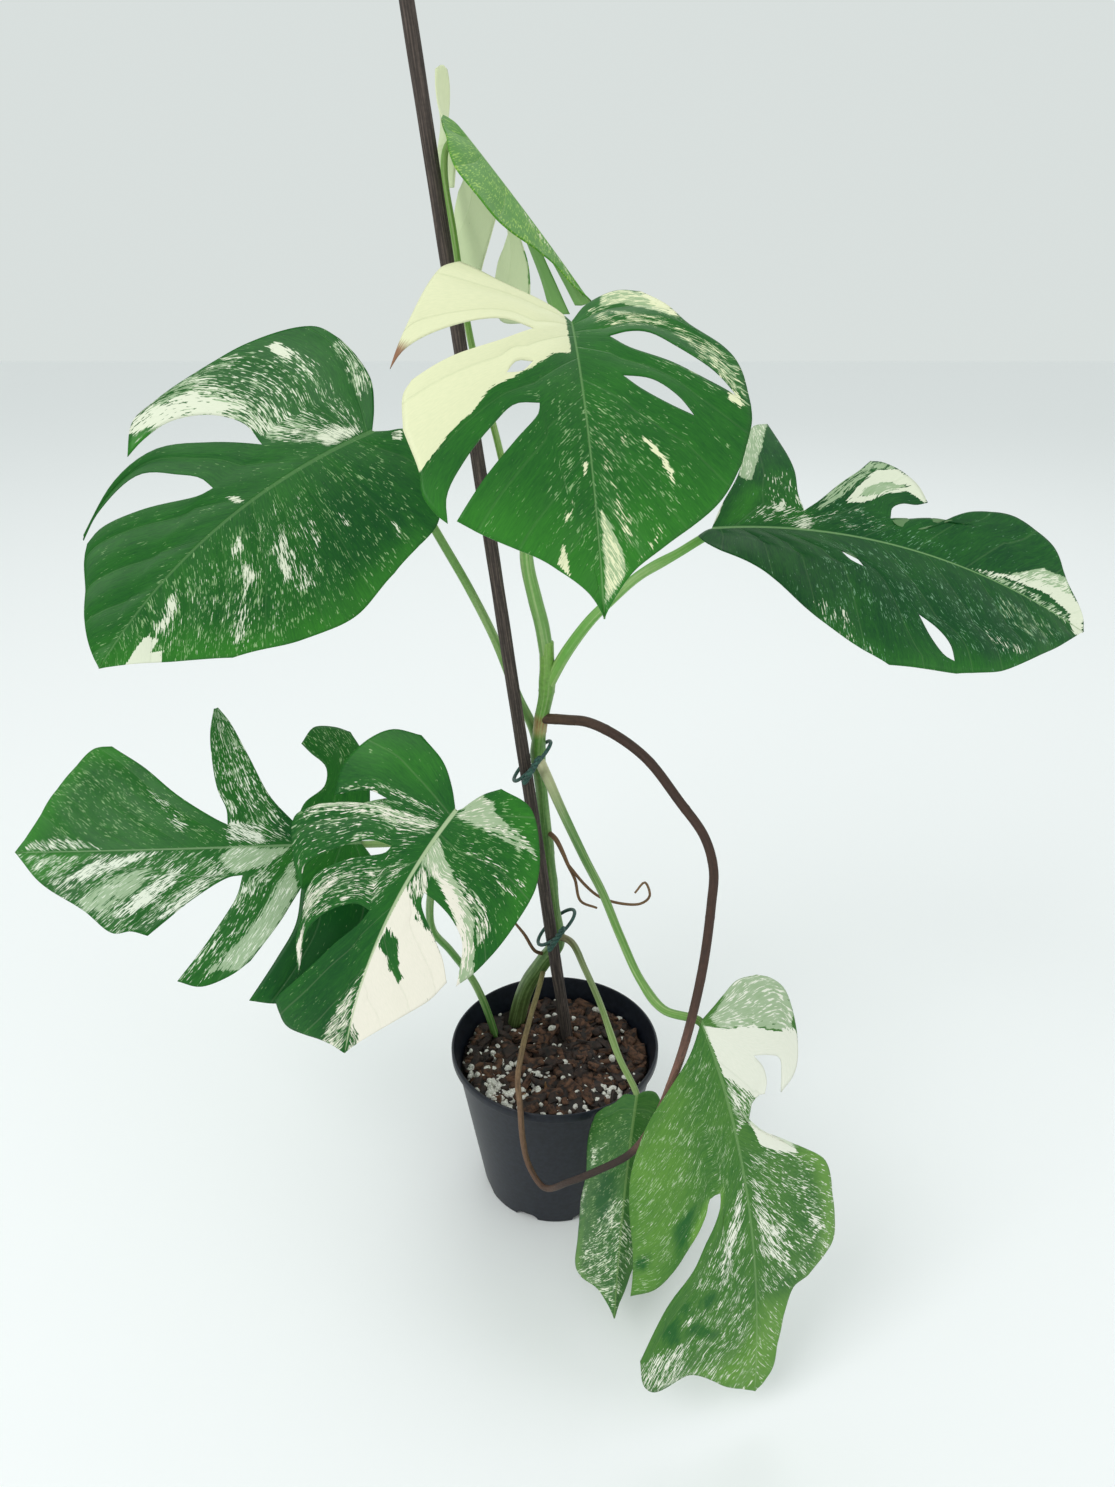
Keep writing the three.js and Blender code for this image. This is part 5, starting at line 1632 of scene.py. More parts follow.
MARKS["lowmid"] = [
    Mark({FRESH: 0.6}, 8, [[-24, 20], [-8, 72], [12, 72], [0, 20]]),
    Mark({FRESH: 0.7}, 8, [[-30, -12], [-32, -40], [0, -70], [60, -72], [40, -58], [0, -50],
        [-20, -20]]),
    Mark({FRESH: 0.05}, 8, [[84, 10], [165, 8], [160, 40], [120, 34]]),
    Mark({CREAM: 0.31, MINT: 0.36}, 3, [[3, 3], [14, 5], [22, 38], [36, 62], [28, 68], [10, 42]]),
    Mark({CREAM: 0.27, MINT: 0.29}, 3, [[14, 3], [44, 8], [58, 32], [82, 54], [78, 66],
        [58, 82], [44, 72], [30, 50], [20, 30]]),
    Mark({CREAM: 0.48, MINT: 0.62}, 2.5, [[12, 3], [20, 5], [26, 24], [30, 42], [38, 60],
        [50, 74], [44, 76], [32, 62], [25, 46], [19, 28]]),
    Mark({CREAM: 0.33, MINT: 0.37}, 3, [[42, 5], [72, 8], [78, 24], [104, 46], [84, 56],
        [60, 38]]),
    Mark({CREAM: 0.48, MINT: 0.52}, 2, [[62, 32], [84, 44], [104, 47], [90, 52], [74, 46]]),
    Mark({CREAM: 0.85, MINT: 0.8}, 1.5, [[104, 46], [116, 47], [132, 39], [120, 42]]),
    Mark({CREAM: 0.44, MINT: 0.5}, 2.5, [[108, 2], [168, 1], [178, 12], [172, 19], [150, 14],
        [130, 8]]),
    Mark({FLECK: 0.2}, 6, [[-28, -8], [24, -6], [60, -58], [20, -68], [-20, -52]]),
    Mark({CREAM: 0.36, MINT: 0.85}, 2, [[-17, -4], [3, -2], [0, -14], [-3, -24], [-12, -24],
        [-18, -14]]),
    Mark({CREAM: 0.4, MINT: 0.6}, 2, [[-13, -20], [-2, -20], [-4, -40], [-7, -56], [-14, -50],
        [-15, -34]]),
    Mark({CREAM: 0.3}, 3, [[8, -10], [15, -14], [26, -58], [12, -64], [4, -40]]),
    Mark({CREAM: 0.42, MINT: 0.45}, 2.5, [[27, -16], [40, -30], [52, -46], [66, -56], [50, -60],
        [36, -48]]),
    Mark({CREAM: 0.4, MINT: 0.95}, 1.5, [[18, -1], [36, -1], [44, -22], [58, -38], [74, -47],
        [99, -51], [98, -58], [84, -60], [66, -54], [50, -45], [38, -30], [28, -14]]),
    Mark({CREAM: 0.7}, 1.5, [[37, -10], [54, -34], [70, -46], [88, -50], [70, -52], [50, -39],
        [38, -24]]),
    Mark({CREAM: 0.5, MINT: 0.5}, 2, [[34, -1], [56, -1], [60, -10], [50, -14], [40, -10]]),
    Mark({CREAM: 1}, 0.8, [[55, -1], [142, 1], [172, -4], [150, -20], [115, -46], [98, -58],
        [84, -44], [72, -30], [62, -12]]),
    Mark({CREAM: 0.1, MINT: 0.1}, 1.2, [[82, -2], [94, -1], [98, -9], [106, -13], [102, -19],
        [90, -14], [83, -10]]),
    Mark({CREAM: 0.1, MINT: 0.1}, 1.2, [[98, -13], [104, -14], [112, -21], [105, -23]]),
    Mark({CREAM: 0.1, MINT: 0.1}, 0.8, [[64, -14], [68, -14], [70, -24], [74, -33], [68, -27]]),
    Mark({CREAM: 0.6}, 1.2, [[63, -13], [70, -18], [78, -34], [94, -49], [84, -48], [72, -34]]),
    Mark({CREAM: 0.66}, 1.5, [[110, -40], [122, -35], [124, -42], [112, -47]]),
    Mark({CREAM: 0.45}, 1.5, [[146, -1], [170, -1], [168, -9], [152, -7]]),
]
MARKS["lowleft"] = [
    Mark({FRESH: 0.85}, 8, [[150, 66], [182, 78], [212, 48], [228, 4], [214, 0], [202, 30],
        [184, 60]]),
    # Painted shade: the basal lobe on the left half lies behind the lowmid leaf, so it is set to the
    # deepest green; its plain, unstreaked look is its own.
    Mark({FRESH: 0}, 6, [[-14, -15], [40, -30], [74, -74], [64, -108], [20, -98], [-14, -50]]),
    Mark({FRESH: 0}, 4, [[42, 3], [58, 2], [56, 18], [48, 34]]),
    Mark({FLECK: 0.26}, 4, [[0, 50], [36, 70], [30, 88], [4, 86], [-8, 60]]),
    Mark({FLECK: 0.21}, 8, [[90, 8], [150, 60], [182, 72], [206, 50], [200, 10], [110, 4]]),
    Mark({CREAM: 0.38}, 2.5, [[106, 12], [118, 10], [128, 24], [144, 44], [128, 38]]),
    Mark({CREAM: 0.4, MINT: 0.45}, 2, [[162, 1], [222, 0], [214, 8], [190, 10], [172, 7]]),
    Mark({CREAM: 0.33, MINT: 0.35}, 3, [[44, 1], [86, 2], [92, 24], [100, 60], [101, 104],
        [88, 96], [66, 58], [50, 26]]),
    Mark({CREAM: 0.58}, 2.5, [[58, 2], [82, 4], [84, 14], [72, 16]]),
    Mark({CREAM: 0.3, MINT: 0.4}, 2, [[60, 44], [72, 66], [90, 98], [96, 102], [88, 84],
        [72, 54], [62, 40]]),
    Mark({CREAM: 0.31, MINT: 0.35}, 3, [[66, 0], [164, 0], [190, -8], [200, -24], [160, -54],
        [130, -55], [100, -34], [78, -16]]),
    Mark({CREAM: 0.36, MINT: 0.95}, 2, [[44, -2], [84, 0], [88, -6], [80, -18], [58, -12]]),
    Mark({CREAM: 0.25, MINT: 0.3}, 2, [[82, -1], [106, -1], [112, -18], [98, -16], [90, -8]]),
    Mark({CREAM: 0.6}, 2, [[124, -1], [144, -3], [166, -7], [190, -22], [172, -19], [148, -10]]),
    Mark({CREAM: 0.6}, 2, [[108, -10], [120, -16], [138, -30], [150, -44], [140, -42],
        [122, -30]]),
    Mark({CREAM: 0.55}, 2, [[88, -12], [98, -18], [114, -34], [126, -47], [112, -41], [96, -26]]),
    Mark({CREAM: 0.3, MINT: 0.7}, 2, [[130, -12], [150, -16], [172, -32], [166, -42],
        [150, -36], [136, -26]]),
    Mark({CREAM: 0.36, MINT: 0.4, FRESH: 0.8}, 3, [[170, -2], [226, 0], [202, -20], [186, -15]]),
    Mark({CREAM: 0.3, MINT: 0.33}, 3, [[48, -4], [74, -20], [92, -46], [118, -82], [98, -90],
        [60, -40]]),
    Mark({CREAM: 0.36, MINT: 0.85}, 2, [[44, -6], [52, -22], [62, -42], [76, -60], [92, -78],
        [76, -78], [56, -56], [42, -30]]),
    Mark({CREAM: 0.4, MINT: 0.5}, 2, [[54, -7], [68, -18], [82, -36], [90, -50], [74, -36],
        [62, -24]]),
]
MARKS["lowright"] = [
    Mark({FRESH: 0.7}, 10, [[30, 24], [70, 66], [170, 78], [160, 56], [90, 30]]),
    Mark({CREAM: 0.18, MINT: 0.22, FLECK: 0.2}, 6, [[4, 2], [96, 1], [112, 16], [140, 40],
        [168, 60], [168, 78], [100, 72], [60, 54], [20, 16]]),
    Mark({FRESH: 0, FLECK: 0, MINT: 0}, 2, [[110, 30], [122, 45], [142, 45], [134, 38],
        [122, 34]]),
    Mark({FRESH: 1.2}, 2, [[103, 13], [114, 16], [126, 26], [140, 37], [130, 35], [110, 24]]),
    Mark({FRESH: 0, FLECK: 0.1}, 1.5, [[138, 61], [150, 63], [146, 70], [140, 69]]),
    Mark({CREAM: 0.3, MINT: 0.32}, 5, [[96, 1], [240, 1], [240, 40], [236, 68], [212, 74],
        [196, 48], [150, 34], [120, 14]]),
    Mark({CREAM: 0.5}, 2, [[98, 1], [118, 3], [150, 13], [176, 23], [150, 21], [120, 10]]),
    Mark({CREAM: 0.44, FLECK: 0.25}, 2.5, [[202, 46], [226, 44], [240, 62], [222, 76], [206, 62]]),
    Mark({FRESH: 0, CREAM: 0, MINT: 0}, 2, [[168, 26], [176, 24], [180, 30], [174, 34]]),
    Mark({FRESH: 0, CREAM: 0, MINT: 0}, 2, [[174, 42], [182, 40], [180, 46]]),
    Mark({FRESH: 0, CREAM: 0.1, MINT: 0}, 2, [[188, 38], [198, 22], [202, 26], [194, 44]]),
    Mark({FRESH: 0, CREAM: 0.1, MINT: 0.1}, 1.5, [[184, 48], [200, 47], [202, 54], [192, 58]]),
    Mark({FRESH: 0.9, CREAM: 0.3}, 8, [[184, -6], [215, 10], [226, 42], [250, 8], [248, -12],
        [186, -28]]),
    Mark({CREAM: 0.38, MINT: 0.85}, 2, [[1, -5], [10, -8], [16, -20], [22, -34], [36, -56],
        [22, -66], [-2, -56], [-12, -30]]),
    Mark({CREAM: 1}, 0.8, [[3, 0], [38, -2], [48, -11], [60, -20], [68, -36], [54, -54],
        [36, -60], [30, -44], [20, -31], [12, -12]]),
    Mark({CREAM: 0.45, MINT: 0.5}, 2, [[32, -1], [72, -1], [66, -11], [58, -19], [48, -12],
        [40, -6]]),
    Mark({CREAM: 0.3, MINT: 0.32}, 4, [[84, -1], [180, -3], [182, -28], [174, -58], [120, -60],
        [98, -40], [88, -20]]),
    Mark({CREAM: 1}, 1, [[68, -10], [84, -14], [92, -24], [99, -38], [84, -32], [72, -20]]),
    Mark({CREAM: 0.5}, 2.5, [[138, -43], [146, -39], [158, -46], [170, -57], [158, -59]]),
    Mark({CREAM: 0.48}, 3, [[100, -3], [150, -4], [166, -22], [150, -25], [120, -14]]),
    Mark({FRESH: 1, CREAM: 0.3}, 5, [[100, -40], [116, -50], [140, -54], [172, -46],
        [184, -30], [176, -66], [140, -70], [106, -62]]),
]
MARKS["front"] = [
    Mark({FLECK: 0.2}, 5, [[14, -4], [140, -4], [140, 46], [40, 50], [20, 32]]),
    Mark({FRESH: 0}, 4, [[50, 8], [88, 12], [84, 28], [56, 24]]),
    Mark({CREAM: 0.4, MINT: 0.45}, 2, [[34, 18], [48, 26], [64, 40], [48, 40]]),
    Mark({CREAM: 0.38, MINT: 0.42}, 3, [[74, 38], [100, 42], [100, 52], [82, 56]]),
    Mark({CREAM: 0.35, MINT: 0.34}, 3, [[60, -8], [100, -6], [142, -4], [142, 46], [118, 40],
        [94, 28], [68, 12]]),
    Mark({FRESH: 0.95}, 4, [[100, 42], [144, 52], [150, 4], [136, 12], [134, 40]]),
    Mark({CREAM: 0.32, MINT: 0.34}, 4, [[20, -4], [120, -2], [90, -24], [40, -24]]),
]
MARKS["top"] = [
    Mark({FLECK: 0.3}, 3, [[-10, 0], [114, 0], [90, 44], [30, 54], [-10, 24]]),
    Mark({CREAM: 0.44}, 2, [[50, 1], [104, 2], [96, 8], [60, 8]]),
    Mark({CREAM: 1}, 1, [[-60, 0], [33, -1], [53, -8], [72, -19], [82, -28], [94, -44],
        [100, -80], [-60, -80]]),
]

# What stands in the mix: its place and the radius that it keeps clear.
STANDING = [((-34, 42), 12), ((9, 24), 9), ((-45, 28), 8)]


@dataclass
class PottingMix:
    """Bark and perlite mix: a dark bed with chips, white grains and dry scraps.

    Sizes of bits are pairs of least and most. Places are drawn out to thrown and
    drawn again past kept, and a bit that reaches past room is moved in.
    """

    top: float = 104.5
    bottom: float = 2.3
    edge: float = 1.8
    shoulder: float = 1.5
    relief: float = 0.7
    rings: tuple[float, ...] = (64, 58, 52, 46, 40, 34, 28, 22, 16, 10, 5, 0)
    steps: int = 72
    thrown: float = 68.0
    kept: float = 67.0
    room: float = 67.5
    tilt: float = 0.35
    heap: float = 1.5
    sharp_angle: float = 40.0
    chips: int = 250
    chip_size: tuple[tuple[float, float], ...] = ((5.5, 18), (3.5, 10), (2, 5))
    chip_break: float = 0.22
    chip_bevel: float = 0.25
    grains: int = 600
    grain_size: tuple[float, float] = (1.0, 2.9)
    scraps: int = 9
    scrap_size: tuple[tuple[float, float], ...] = ((9, 20), (2.5, 5))
    scrap_curl: tuple[float, float] = (0.05, 0.16)
    scrap_thickness: float = 0.5
    seed: int = 11

    def surface(self, x: float, y: float) -> float:
        """Height of the bed at a place."""
        lump = math.sin(x * 0.21 + 1.3) * math.cos(y * 0.19) + math.sin(x * 0.47 - y * 0.39)
        return self.top + self.relief * lump

    def bed(self, pot: Pot) -> bpy.types.Object:
        """Builds the bed that fills the pot.

        Args:
            pot: The pot round it.

        Returns:
            The bed.
        """
        heights = (self.bottom, 30, 60, 90, self.top - self.shoulder)
        section = [[0, self.bottom]]
        section += [[pot.wall_at(z) - self.edge, z] for z in heights]
        section += [[r, self.top] for r in self.rings]
        bm = spin_section(section, self.steps)
        for vert in bm.verts:
            if vert.co.z > (self.top - 0.1) * MM:
                vert.co.z = self.surface(vert.co.x / MM, vert.co.y / MM) * MM
        # Damp peat and bark dust: the dark, rough ground between the chips.
        peat = Matter("damp_peat", 0x0D0906, 0x2A1D14, 2.0, roughness=0.95, bump=0.9)
        return new_piece(bm, "potting_bed", [peat.material()], ("potting_mix",))

    def scatter(
        self, name: str, count: int, material: bpy.types.Material,
        shape: Callable[[bmesh.types.BMesh, random.Random], tuple[list, float]], crowd: Points,
    ) -> bpy.types.Object:
        """Strews small bits over the bed, clear of what stands in it.

        Args:
            name: Name of the piece.
            count: Number of bits.
            material: Their material.
            shape: Adds one bit at the origin and gives its corners and height.
            crowd: Places with more of them, as [x, y, share, radius].

        Returns:
            The new object.
        """
        draw = random.Random(f"{self.seed} {name}")
        bm = bmesh.new()
        made = 0
        while made < count:
            turn, far = draw.uniform(0, 2 * math.pi), self.thrown * math.sqrt(draw.random())
            x, y = far * math.cos(turn), far * math.sin(turn)
            for cx, cy, share, radius in crowd:
                if draw.random() < share:
                    x, y = draw.gauss(cx, radius), draw.gauss(cy, radius)
            if math.hypot(x, y) > self.kept or any(math.dist((x, y), p) < r for p, r in STANDING):
                continue
            verts, height = shape(bm, draw)
            roll = Matrix.Rotation(draw.gauss(0, self.tilt), 3, "X")
            pitch = Matrix.Rotation(draw.gauss(0, self.tilt), 3, "Y")
            spun = Matrix.Rotation(draw.uniform(0, 2 * math.pi), 3, "Z")
            lift = self.surface(x, y) + height * draw.uniform(0.0, self.heap)
            bmesh.ops.rotate(bm, verts=verts, cent=(0, 0, 0), matrix=roll @ pitch @ spun)
            bmesh.ops.translate(bm, verts=verts, vec=Vector((x, y, lift)) * MM)
            reach = max(math.hypot(vert.co.x, vert.co.y) for vert in verts) / MM
            inward = Vector((x, y, 0)) * min(0.0, (self.room - reach) / math.hypot(x, y))
            bmesh.ops.translate(bm, verts=verts, vec=inward * MM)
            made += 1
        bmesh.ops.recalc_face_normals(bm, faces=bm.faces)
        piece = new_piece(bm, name, [material])
        piece.data.set_sharp_from_angle(angle=self.sharp_angle * DEGREE)
        return piece

    def chip(self, bm: bmesh.types.BMesh, draw: random.Random) -> tuple[list, float]:
        """Adds one broken, bevelled chip of bark.

        Args:
            bm: Mesh to add it to.
            draw: Source of the random sizes.

        Returns:
            Its corners and its height.
        """
        size = Vector([draw.uniform(*span) for span in self.chip_size])
        made = bmesh.ops.create_cube(bm, size=1)["verts"]
        for vert in made:
            broken = [draw.uniform(-self.chip_break, self.chip_break) for _ in range(3)]
            vert.co = (vert.co + Vector(broken)) * size * MM
        edges = list({edge for vert in made for edge in vert.link_edges})
        cut = bmesh.ops.bevel(bm, geom=edges, offset=self.chip_bevel * size.z * MM, segments=1,
            profile=0.5, affect="EDGES", material=-1)
        return list({v for face in cut["faces"] for v in face.verts}), size.z / 2

    def grain(self, bm: bmesh.types.BMesh, draw: random.Random) -> tuple[list, float]:
        """Adds one puffed grain of perlite.

        Args:
            bm: Mesh to add it to.
            draw: Source of the random sizes.

        Returns:
            Its corners and its height.
        """
        size = draw.uniform(*self.grain_size)
        made = bmesh.ops.create_icosphere(bm, subdivisions=2, radius=1)["verts"]
        squash = Vector([draw.uniform(0.7, 1.2) for _ in range(3)])
        for vert in made:
            vert.co = vert.co * squash * (size * draw.uniform(0.86, 1.1) * MM)
        return made, size

    def scrap(self, bm: bmesh.types.BMesh, draw: random.Random) -> tuple[list, float]:
        """Adds one curled scrap of dry sheath.

        Args:
            bm: Mesh to add it to.
            draw: Source of the random sizes.

        Returns:
            Its corners and its height.
        """
        long, wide = (draw.uniform(*span) for span in self.scrap_size)
        curl = draw.uniform(*self.scrap_curl)
        made = bmesh.ops.create_grid(bm, x_segments=10, y_segments=3, size=0.5)["verts"]
        for vert in made:
            a, b = vert.co.x * long, vert.co.y * wide * (1 - (1.7 * vert.co.x) ** 2)
            bend = a * curl
            lift = (1 - math.cos(bend)) / curl + b * b / 8
            vert.co = Vector((math.sin(bend) / curl, b, lift)) * MM
        faces = list({face for vert in made for face in vert.link_faces})
        skin = bmesh.ops.solidify(bm, geom=faces, thickness=self.scrap_thickness * MM)
        more = [v for v in skin["geom"] if isinstance(v, bmesh.types.BMVert)]
        return list(set(made) | set(more)), 1.0

    def build(self, pot: Pot) -> None:
        """Builds the bed and what lies on it.

        Args:
            pot: The pot round it.
        """
        self.bed(pot)
        # Pine bark: rough, dry, red-brown, in thin darker layers.
        bark = Matter("pine_bark", 0x190E09, 0x664633, 5.0, (1, 1, 3), 0.85, 0.8)
        # Wet bark: the same, much darker and a little glossier.
        dark = Matter("wet_pine_bark", 0x0A0605, 0x36231A, 5.0, (1, 1, 3), 0.7, 0.8)
        # Expanded perlite: chalky off-white with fine pores.
        perlite = Matter("expanded_perlite", 0xB9B6AC, 0xF2F0EA, 1.2, roughness=0.9, bump=0.7)
        # Dry leaf sheath: dull tan with thin brown streaks.
        dry = Matter("dry_sheath", 0x6E4A2C, 0xA98358, 5.0, (1, 5, 1), 0.75, 0.5)
        self.scatter("bark_chips", self.chips, bark.material(), self.chip, [])
        self.scatter("wet_bark_chips", self.chips, dark.material(), self.chip, [])
        self.scatter("perlite", self.grains, perlite.material(), self.grain,
            [[-40, -30, 0.5, 14], [44, -34, 0.14, 14]])
        self.scatter("dry_scraps", self.scraps, dry.material(), self.scrap, [[-20, -45, 0.5, 14]])


@dataclass(frozen=True)
class Tie:
    """Plastic-coated wire round the stake and the stem, with a twisted end.

    The twist is in radians from the middle of the end to its tip, and its two
    wires keep a small distance from its middle line.
    """

    name: str
    centre: list[float]
    across: float
    deep: float
    tilt: float
    radius: float = 1.3
    loop_steps: int = 24
    end_radius: float = 1.5
    end_points: int = 19
    end_reach: tuple[float, float] = (5.0, 9.0)
    end_before: float = 1.8
    twist: float = 8.0
    apart: float = 1.0

    def turn(self, angle: float) -> list[float]:
        """Finds a point of the loop.

        Args:
            angle: Its angle round the loop.

        Returns:
            The point.
        """
        return [
            self.centre[0] + self.across * math.cos(angle),
            self.centre[1] + self.deep * math.sin(angle),
            self.centre[2] + self.tilt * self.across * math.cos(angle),
        ]

    def build(self, material: bpy.types.Material) -> bpy.types.Object:
        """Builds the loop and its twisted ends.

        Args:
            material: The wire's coating.

        Returns:
            The tie.
        """
        start = -0.5 * math.pi
        steps = self.loop_steps
        loop = [self.turn(start + (i / steps) * 2 * math.pi) for i in range(steps + 1)]
        near = np.array(self.turn(start))
        tubes = [Tube(Rod(loop, [self.radius] * len(loop)), sides=8, step=1.2)]
        sideways, upwards = self.end_reach
        for sign in (1, -1):
            end = [
                near + [
                    sideways * v + self.apart * math.cos(self.twist * v) * sign,
                    -self.end_before + self.apart * math.sin(self.twist * v) * sign,
                    upwards * v,
                ]
                for v in np.linspace(-1, 1, self.end_points)
            ]
            rod = Rod([point.tolist() for point in end], [self.end_radius] * len(end))
            tubes.append(Tube(rod, sides=7, step=0.9))
        return tube_piece(tubes, f"tie_{self.name}", material, (f"tie_{self.name}",))


TIES = [
    Tie("upper", [-15, 29, 335], 12.4, 11.8, 1.1),
    Tie("lower", [1, 30, 201], 13.2, 12.9, 0.95),
]


@dataclass
class Stake:
    """Dark, fibrous wooden stake, tapering towards its head."""

    foot: list[float] = field(default_factory=lambda: [18.6, 24, 31])
    head: list[float] = field(default_factory=lambda: [-75.1, 24, 775])
    radius: tuple[float, float] = (4.5, 4.0)

    def build(self) -> bpy.types.Object:
        """Builds the stake with its ridged fibres.

        Returns:
            The stake.
        """
        def girth(far: np.ndarray, angle: np.ndarray) -> np.ndarray:
            """Lengthwise ridges that wander a little."""
            ridge = np.sin(7 * angle + 0.03 * far) + 0.6 * np.sin(11 * angle - 0.05 * far)
            return 0.97 + 0.02 * ridge + 0.01 * np.sin(far / 7)

        # Fibrous wood: a dark, dull brown with rough, paler fibres along it.
        skin = GrownSkin("fibrous_dark_wood", ((0, 0x2E2724), (760, 0x3B332E)), 0x6E6058,
            amount=0.6, wide=0.9, long=30, roughness=0.85, rough_bump=0.9)
        tube = Tube(Rod([self.foot, self.head], list(self.radius)), sides=24, step=6, girth=girth)
        return tube_piece([tube], "wooden_stake", skin.material(), ("stake",))


@dataclass
class Stem:
    """Climbing stem: ringed nodes where leaves leave it, grooved between them."""

    rod: Rod = STEM
    nodes: tuple[float, ...] = (122, 178, 208, 282, 306, 334)

    def build(self) -> bpy.types.Object:
        """Builds the stem.

        Returns:
            The stem.
        """
        def girth(far: np.ndarray, angle: np.ndarray) -> np.ndarray:
            """Gives swollen nodes, each with a thin ring, and shallow grooves.

            Args:
                far: Distance along the stem.
                angle: Angle round it.

            Returns:
                Factor on the stem's radius.
            """
            size = 0.97 + 0.025 * np.sin(3 * angle + far / 60)
            for node in self.nodes:
                size = size + 0.1 * np.exp(-(((far - node) / 6) ** 2))
                size = size + 0.06 * np.exp(-(((far - node + 7) / 1.0) ** 2))
            return size

        # Living stem: satin green with pale streaks, olive in the mix, with a tan scar up high.
        skin = GrownSkin("green_stem", ((0, 0x45482A), (60, 0x4A5E2C), (130, 0x4C7832),
            (230, 0x4C7E31), (294, 0x578C35), (300, 0xA3925E), (307, 0x8A6A40), (312, 0x5B9138),
            (365, 0x76A344)), 0x9DB878, amount=0.45, wide=1.3, long=40, roughness=0.45)
        return tube_piece([Tube(self.rod, sides=28, step=1.6, girth=girth)], "stem",
            skin.material(), ("main_stem",))


@dataclass
class Petiole:
    """Leaf stalk from its sheath at the stem to the rib under the blade."""

    name: str
    rod: Rod
    form: Form
    colours: tuple[int, int, int]
    streak: int = 0xC9D9A0
    clear: float = 0.75
    rib_shares: tuple[float, ...] = (0.01, 0.06, 0.13, 0.22, 0.34, 0.46, 0.58, 0.7, 0.84, 0.95)
    rib_end: float = 0.4
    rib_taper: float = 0.7

    def build(self) -> bpy.types.Object:
        """Builds the stalk and its rib.

        Returns:
            The stalk with its rib.
        """
        surface = LeafSurface(self.form)
        path, radius = list(self.rod.path), list(self.rod.radius)
        start = radius[-1]
        for share in self.rib_shares:
            width = start + (self.rib_end - start) * min(1.0, share / self.rib_taper)
            path.append(surface.under(share * self.form.length, width + self.clear).tolist())
            radius.append(width)
        total = line_length(path)
        stalk = line_length(path[: len(self.rod.path)])

        def girth(far: np.ndarray, angle: np.ndarray) -> np.ndarray:
            """Gives a swollen knee under the blade and a groove along the stalk.

            Args:
                far: Distance along the stalk.
                angle: Angle round it.

            Returns:
                Factor on the stalk's radius.
            """
            knee = 0.14 * np.exp(-(((far - stalk + 10) / 9) ** 2))
            groove = 0.05 * np.exp(-(((angle - 1.2) / 0.35) ** 2)) * (far < stalk - 20)
            return 1 + knee - groove

        foot, middle, head = self.colours
        # Leaf stalk: smooth, satin green with fine, pale streaks.
        skin = GrownSkin(f"petiole_skin_{self.name}", ((0, foot), (stalk * 0.25, middle),
            (stalk, head), (total, head)), self.streak, amount=0.35, wide=0.9, long=60,
            roughness=0.42, rough_bump=0.08, mottle=0.08)
        return tube_piece([Tube(Rod(path, radius), sides=16, step=2.4, girth=girth)],
            f"stalk_{self.name}", skin.material(), (f"petiole_{self.name}",))


@dataclass
class Roots:
    """Aerial roots: one long ringed root and finer ones."""

    ring_step: float = 37.0

    def build(self) -> None:
        """Builds the three root pieces."""
        def girth(far: np.ndarray, angle: np.ndarray) -> np.ndarray:
            """Slight unevenness and thin ring scars."""
            ring = np.exp(-((((far + 5) % self.ring_step - self.ring_step / 2) / 0.9) ** 2))
            return 0.97 + 0.05 * ring + 0.02 * np.sin(far / 9 + angle) + 0.015 * np.sin(2 * angle)

        # Aerial root: dull, corky brown, redder in the middle and tan towards the tip.
        long_skin = GrownSkin("aerial_root_skin", ((0, 0x523C2A), (60, 0x3E281E), (250, 0x432B20),
            (300, 0x7E5849), (350, 0x785646), (378, 0x33241D), (430, 0x38271F), (470, 0x5A4030),
            (540, 0x86684C), (624, 0x86804E)),
            0x2A1C14, amount=0.5, wide=1.2, long=12, roughness=0.7, rough_bump=0.6)
        # Fine root: dull light brown with a fine grain.
        fine_skin = GrownSkin("fine_root_skin", ((0, 0x6E5238), (120, 0x8A6A48)), 0x3A2A1C,
            amount=0.5, wide=0.8, long=8, roughness=0.8, rough_bump=0.6)
        tube_piece([Tube(LONG_ROOT, sides=14, step=1.8, girth=girth)], "root_long",
            long_skin.material(), ("long_aerial_root",))
        fine = fine_skin.material()
        for name, strands in FINE_ROOTS.items():
            tube_piece([Tube(rod, sides=9, step=1.5) for rod in strands], f"root_fine_{name}",
                fine, (f"fine_roots_{name}",))


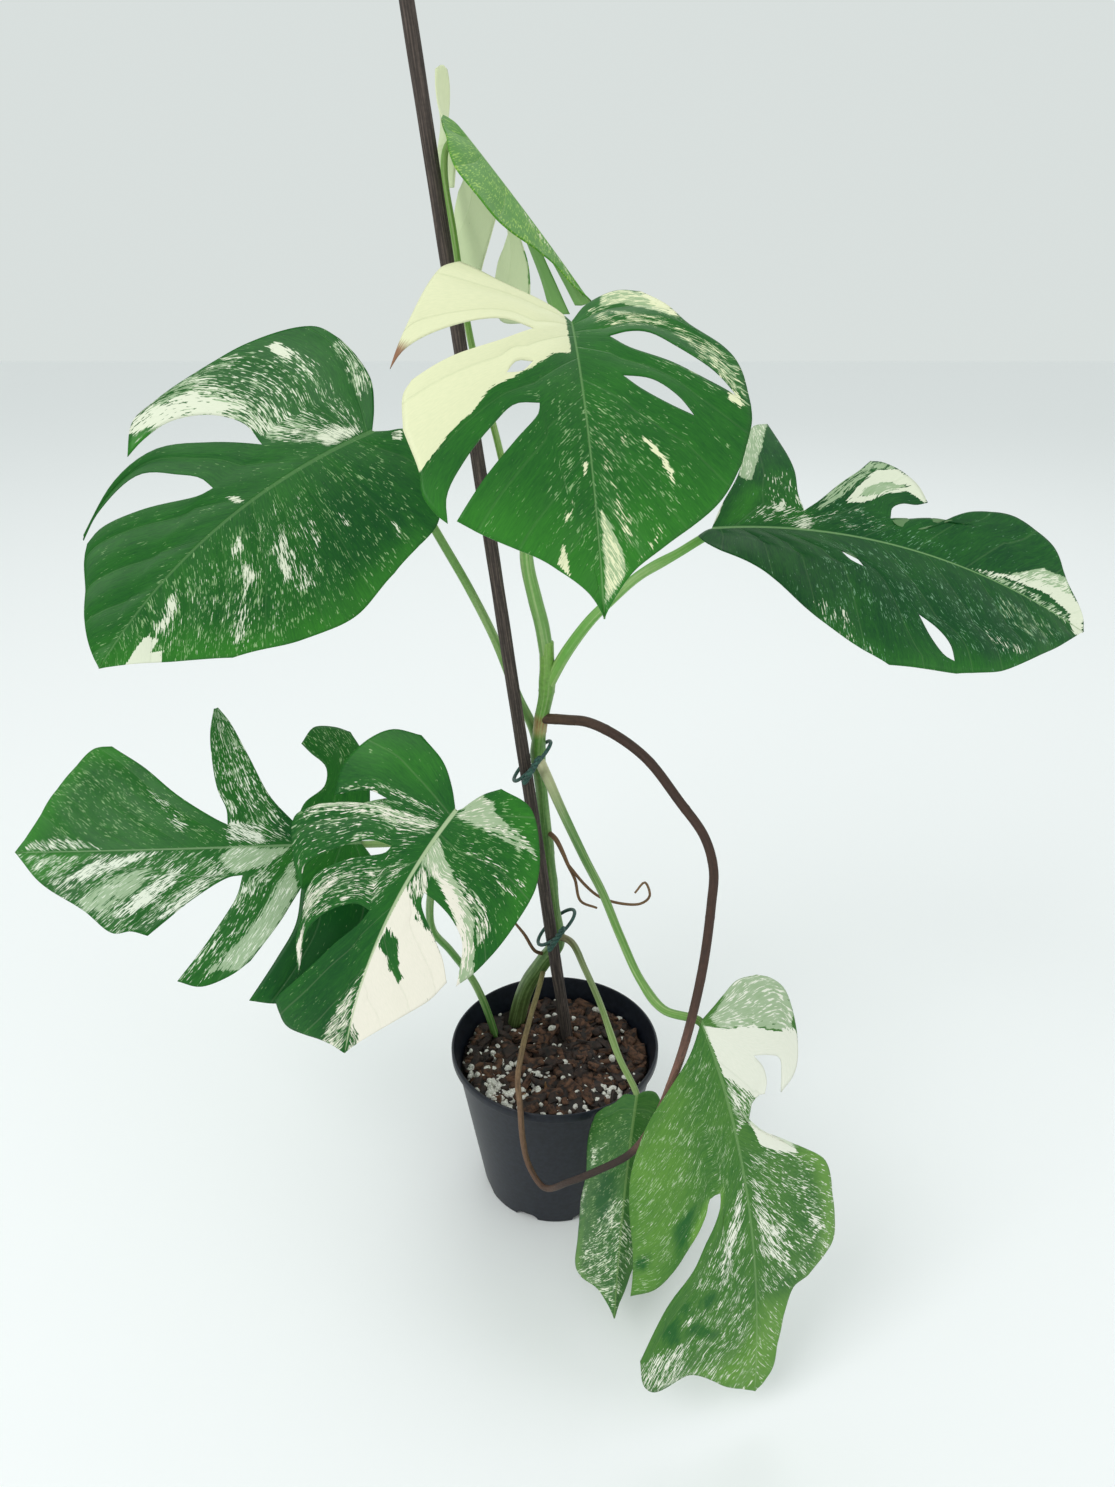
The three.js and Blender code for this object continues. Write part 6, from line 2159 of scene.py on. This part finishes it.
@dataclass
class Studio:
    """Pale floor, soft lights and a camera at the photograph's viewing angle, in metres."""

    camera_place: tuple[float, float, float] = (0.0019, -0.615, 0.651)
    pitch: float = 25.2
    lens: float = 26.0
    floor_size: float = 6.0
    sky: float = 0.85
    plant_middle: tuple[float, float, float] = (0, 0, 0.35)

    def build(self) -> None:
        """Sets the scene round the plant."""
        scene = bpy.context.scene
        data = bpy.data.cameras.new("camera")
        data.lens = self.lens
        camera = bpy.data.objects.new("camera", data)
        camera.location = self.camera_place
        camera.rotation_euler = ((90 - self.pitch) * DEGREE, 0, 0)
        scene.collection.objects.link(camera)
        scene.camera = camera
        self.floor()
        self.light("key", (-1.6, -1.5, 2.4), 1.6, 30)
        self.light("fill", (2.0, -1.4, 1.5), 1.8, 8)
        self.light("back", (0.3, 2.0, 2.2), 1.8, 8)
        world = bpy.data.worlds.new("studio")
        world.use_nodes = True
        sky = world.node_tree.nodes["Background"]
        sky.inputs["Color"].default_value = linear(0xE9F0EE)
        sky.inputs["Strength"].default_value = self.sky
        scene.world = world
        scene.view_settings.view_transform = "Standard"

    def floor(self) -> None:
        """Lays the floor just under the pot."""
        bm = bmesh.new()
        bmesh.ops.create_grid(bm, x_segments=1, y_segments=1, size=self.floor_size)
        mesh = bpy.data.meshes.new("floor")
        bm.to_mesh(mesh)
        bm.free()
        floor = bpy.data.objects.new("floor", mesh)
        made, _, shader = new_material("pale_floor")
        shader.inputs["Base Color"].default_value = linear(0xF8F9FA)
        shader.inputs["Roughness"].default_value = 0.7
        mesh.materials.append(made)
        bpy.context.scene.collection.objects.link(floor)

    def light(self, name: str, place: tuple[float, float, float], size: float, power: float) -> None:
        """Adds a soft square light aimed at the middle of the plant.

        Args:
            name: Its name.
            place: Where it hangs, in metres.
            size: Length of its sides, in metres.
            power: Its power in watts.
        """
        data = bpy.data.lights.new(name, "AREA")
        data.size = size
        data.energy = power
        light = bpy.data.objects.new(name, data)
        light.location = place
        aim = Vector(self.plant_middle) - Vector(place)
        light.rotation_euler = aim.to_track_quat("-Z", "Y").to_euler()
        bpy.context.scene.collection.objects.link(light)


def main() -> None:
    """Builds the plant from the pot upwards."""
    Studio().build()
    pot = Pot()
    pot.build()
    PottingMix().build(pot)
    Stake().build()
    # Plastic coating: dark green, smooth, with a soft sheen.
    wire = Matter("coated_wire", 0x173833, 0x2F5C51, 2.0, roughness=0.5, bump=0.1).material()
    for tie in TIES:
        tie.build(wire)
    Stem().build()
    Roots().build()
    for name, form in LEAVES.items():
        Petiole(name, PETIOLES[name], form, STALK_COLOURS[name]).build()
        Blade(name, form, MARKS[name], SKINS[name], fresh=TONES[name]).build()


if __name__ == "__main__":
    logging.basicConfig(level=logging.INFO)
    main()
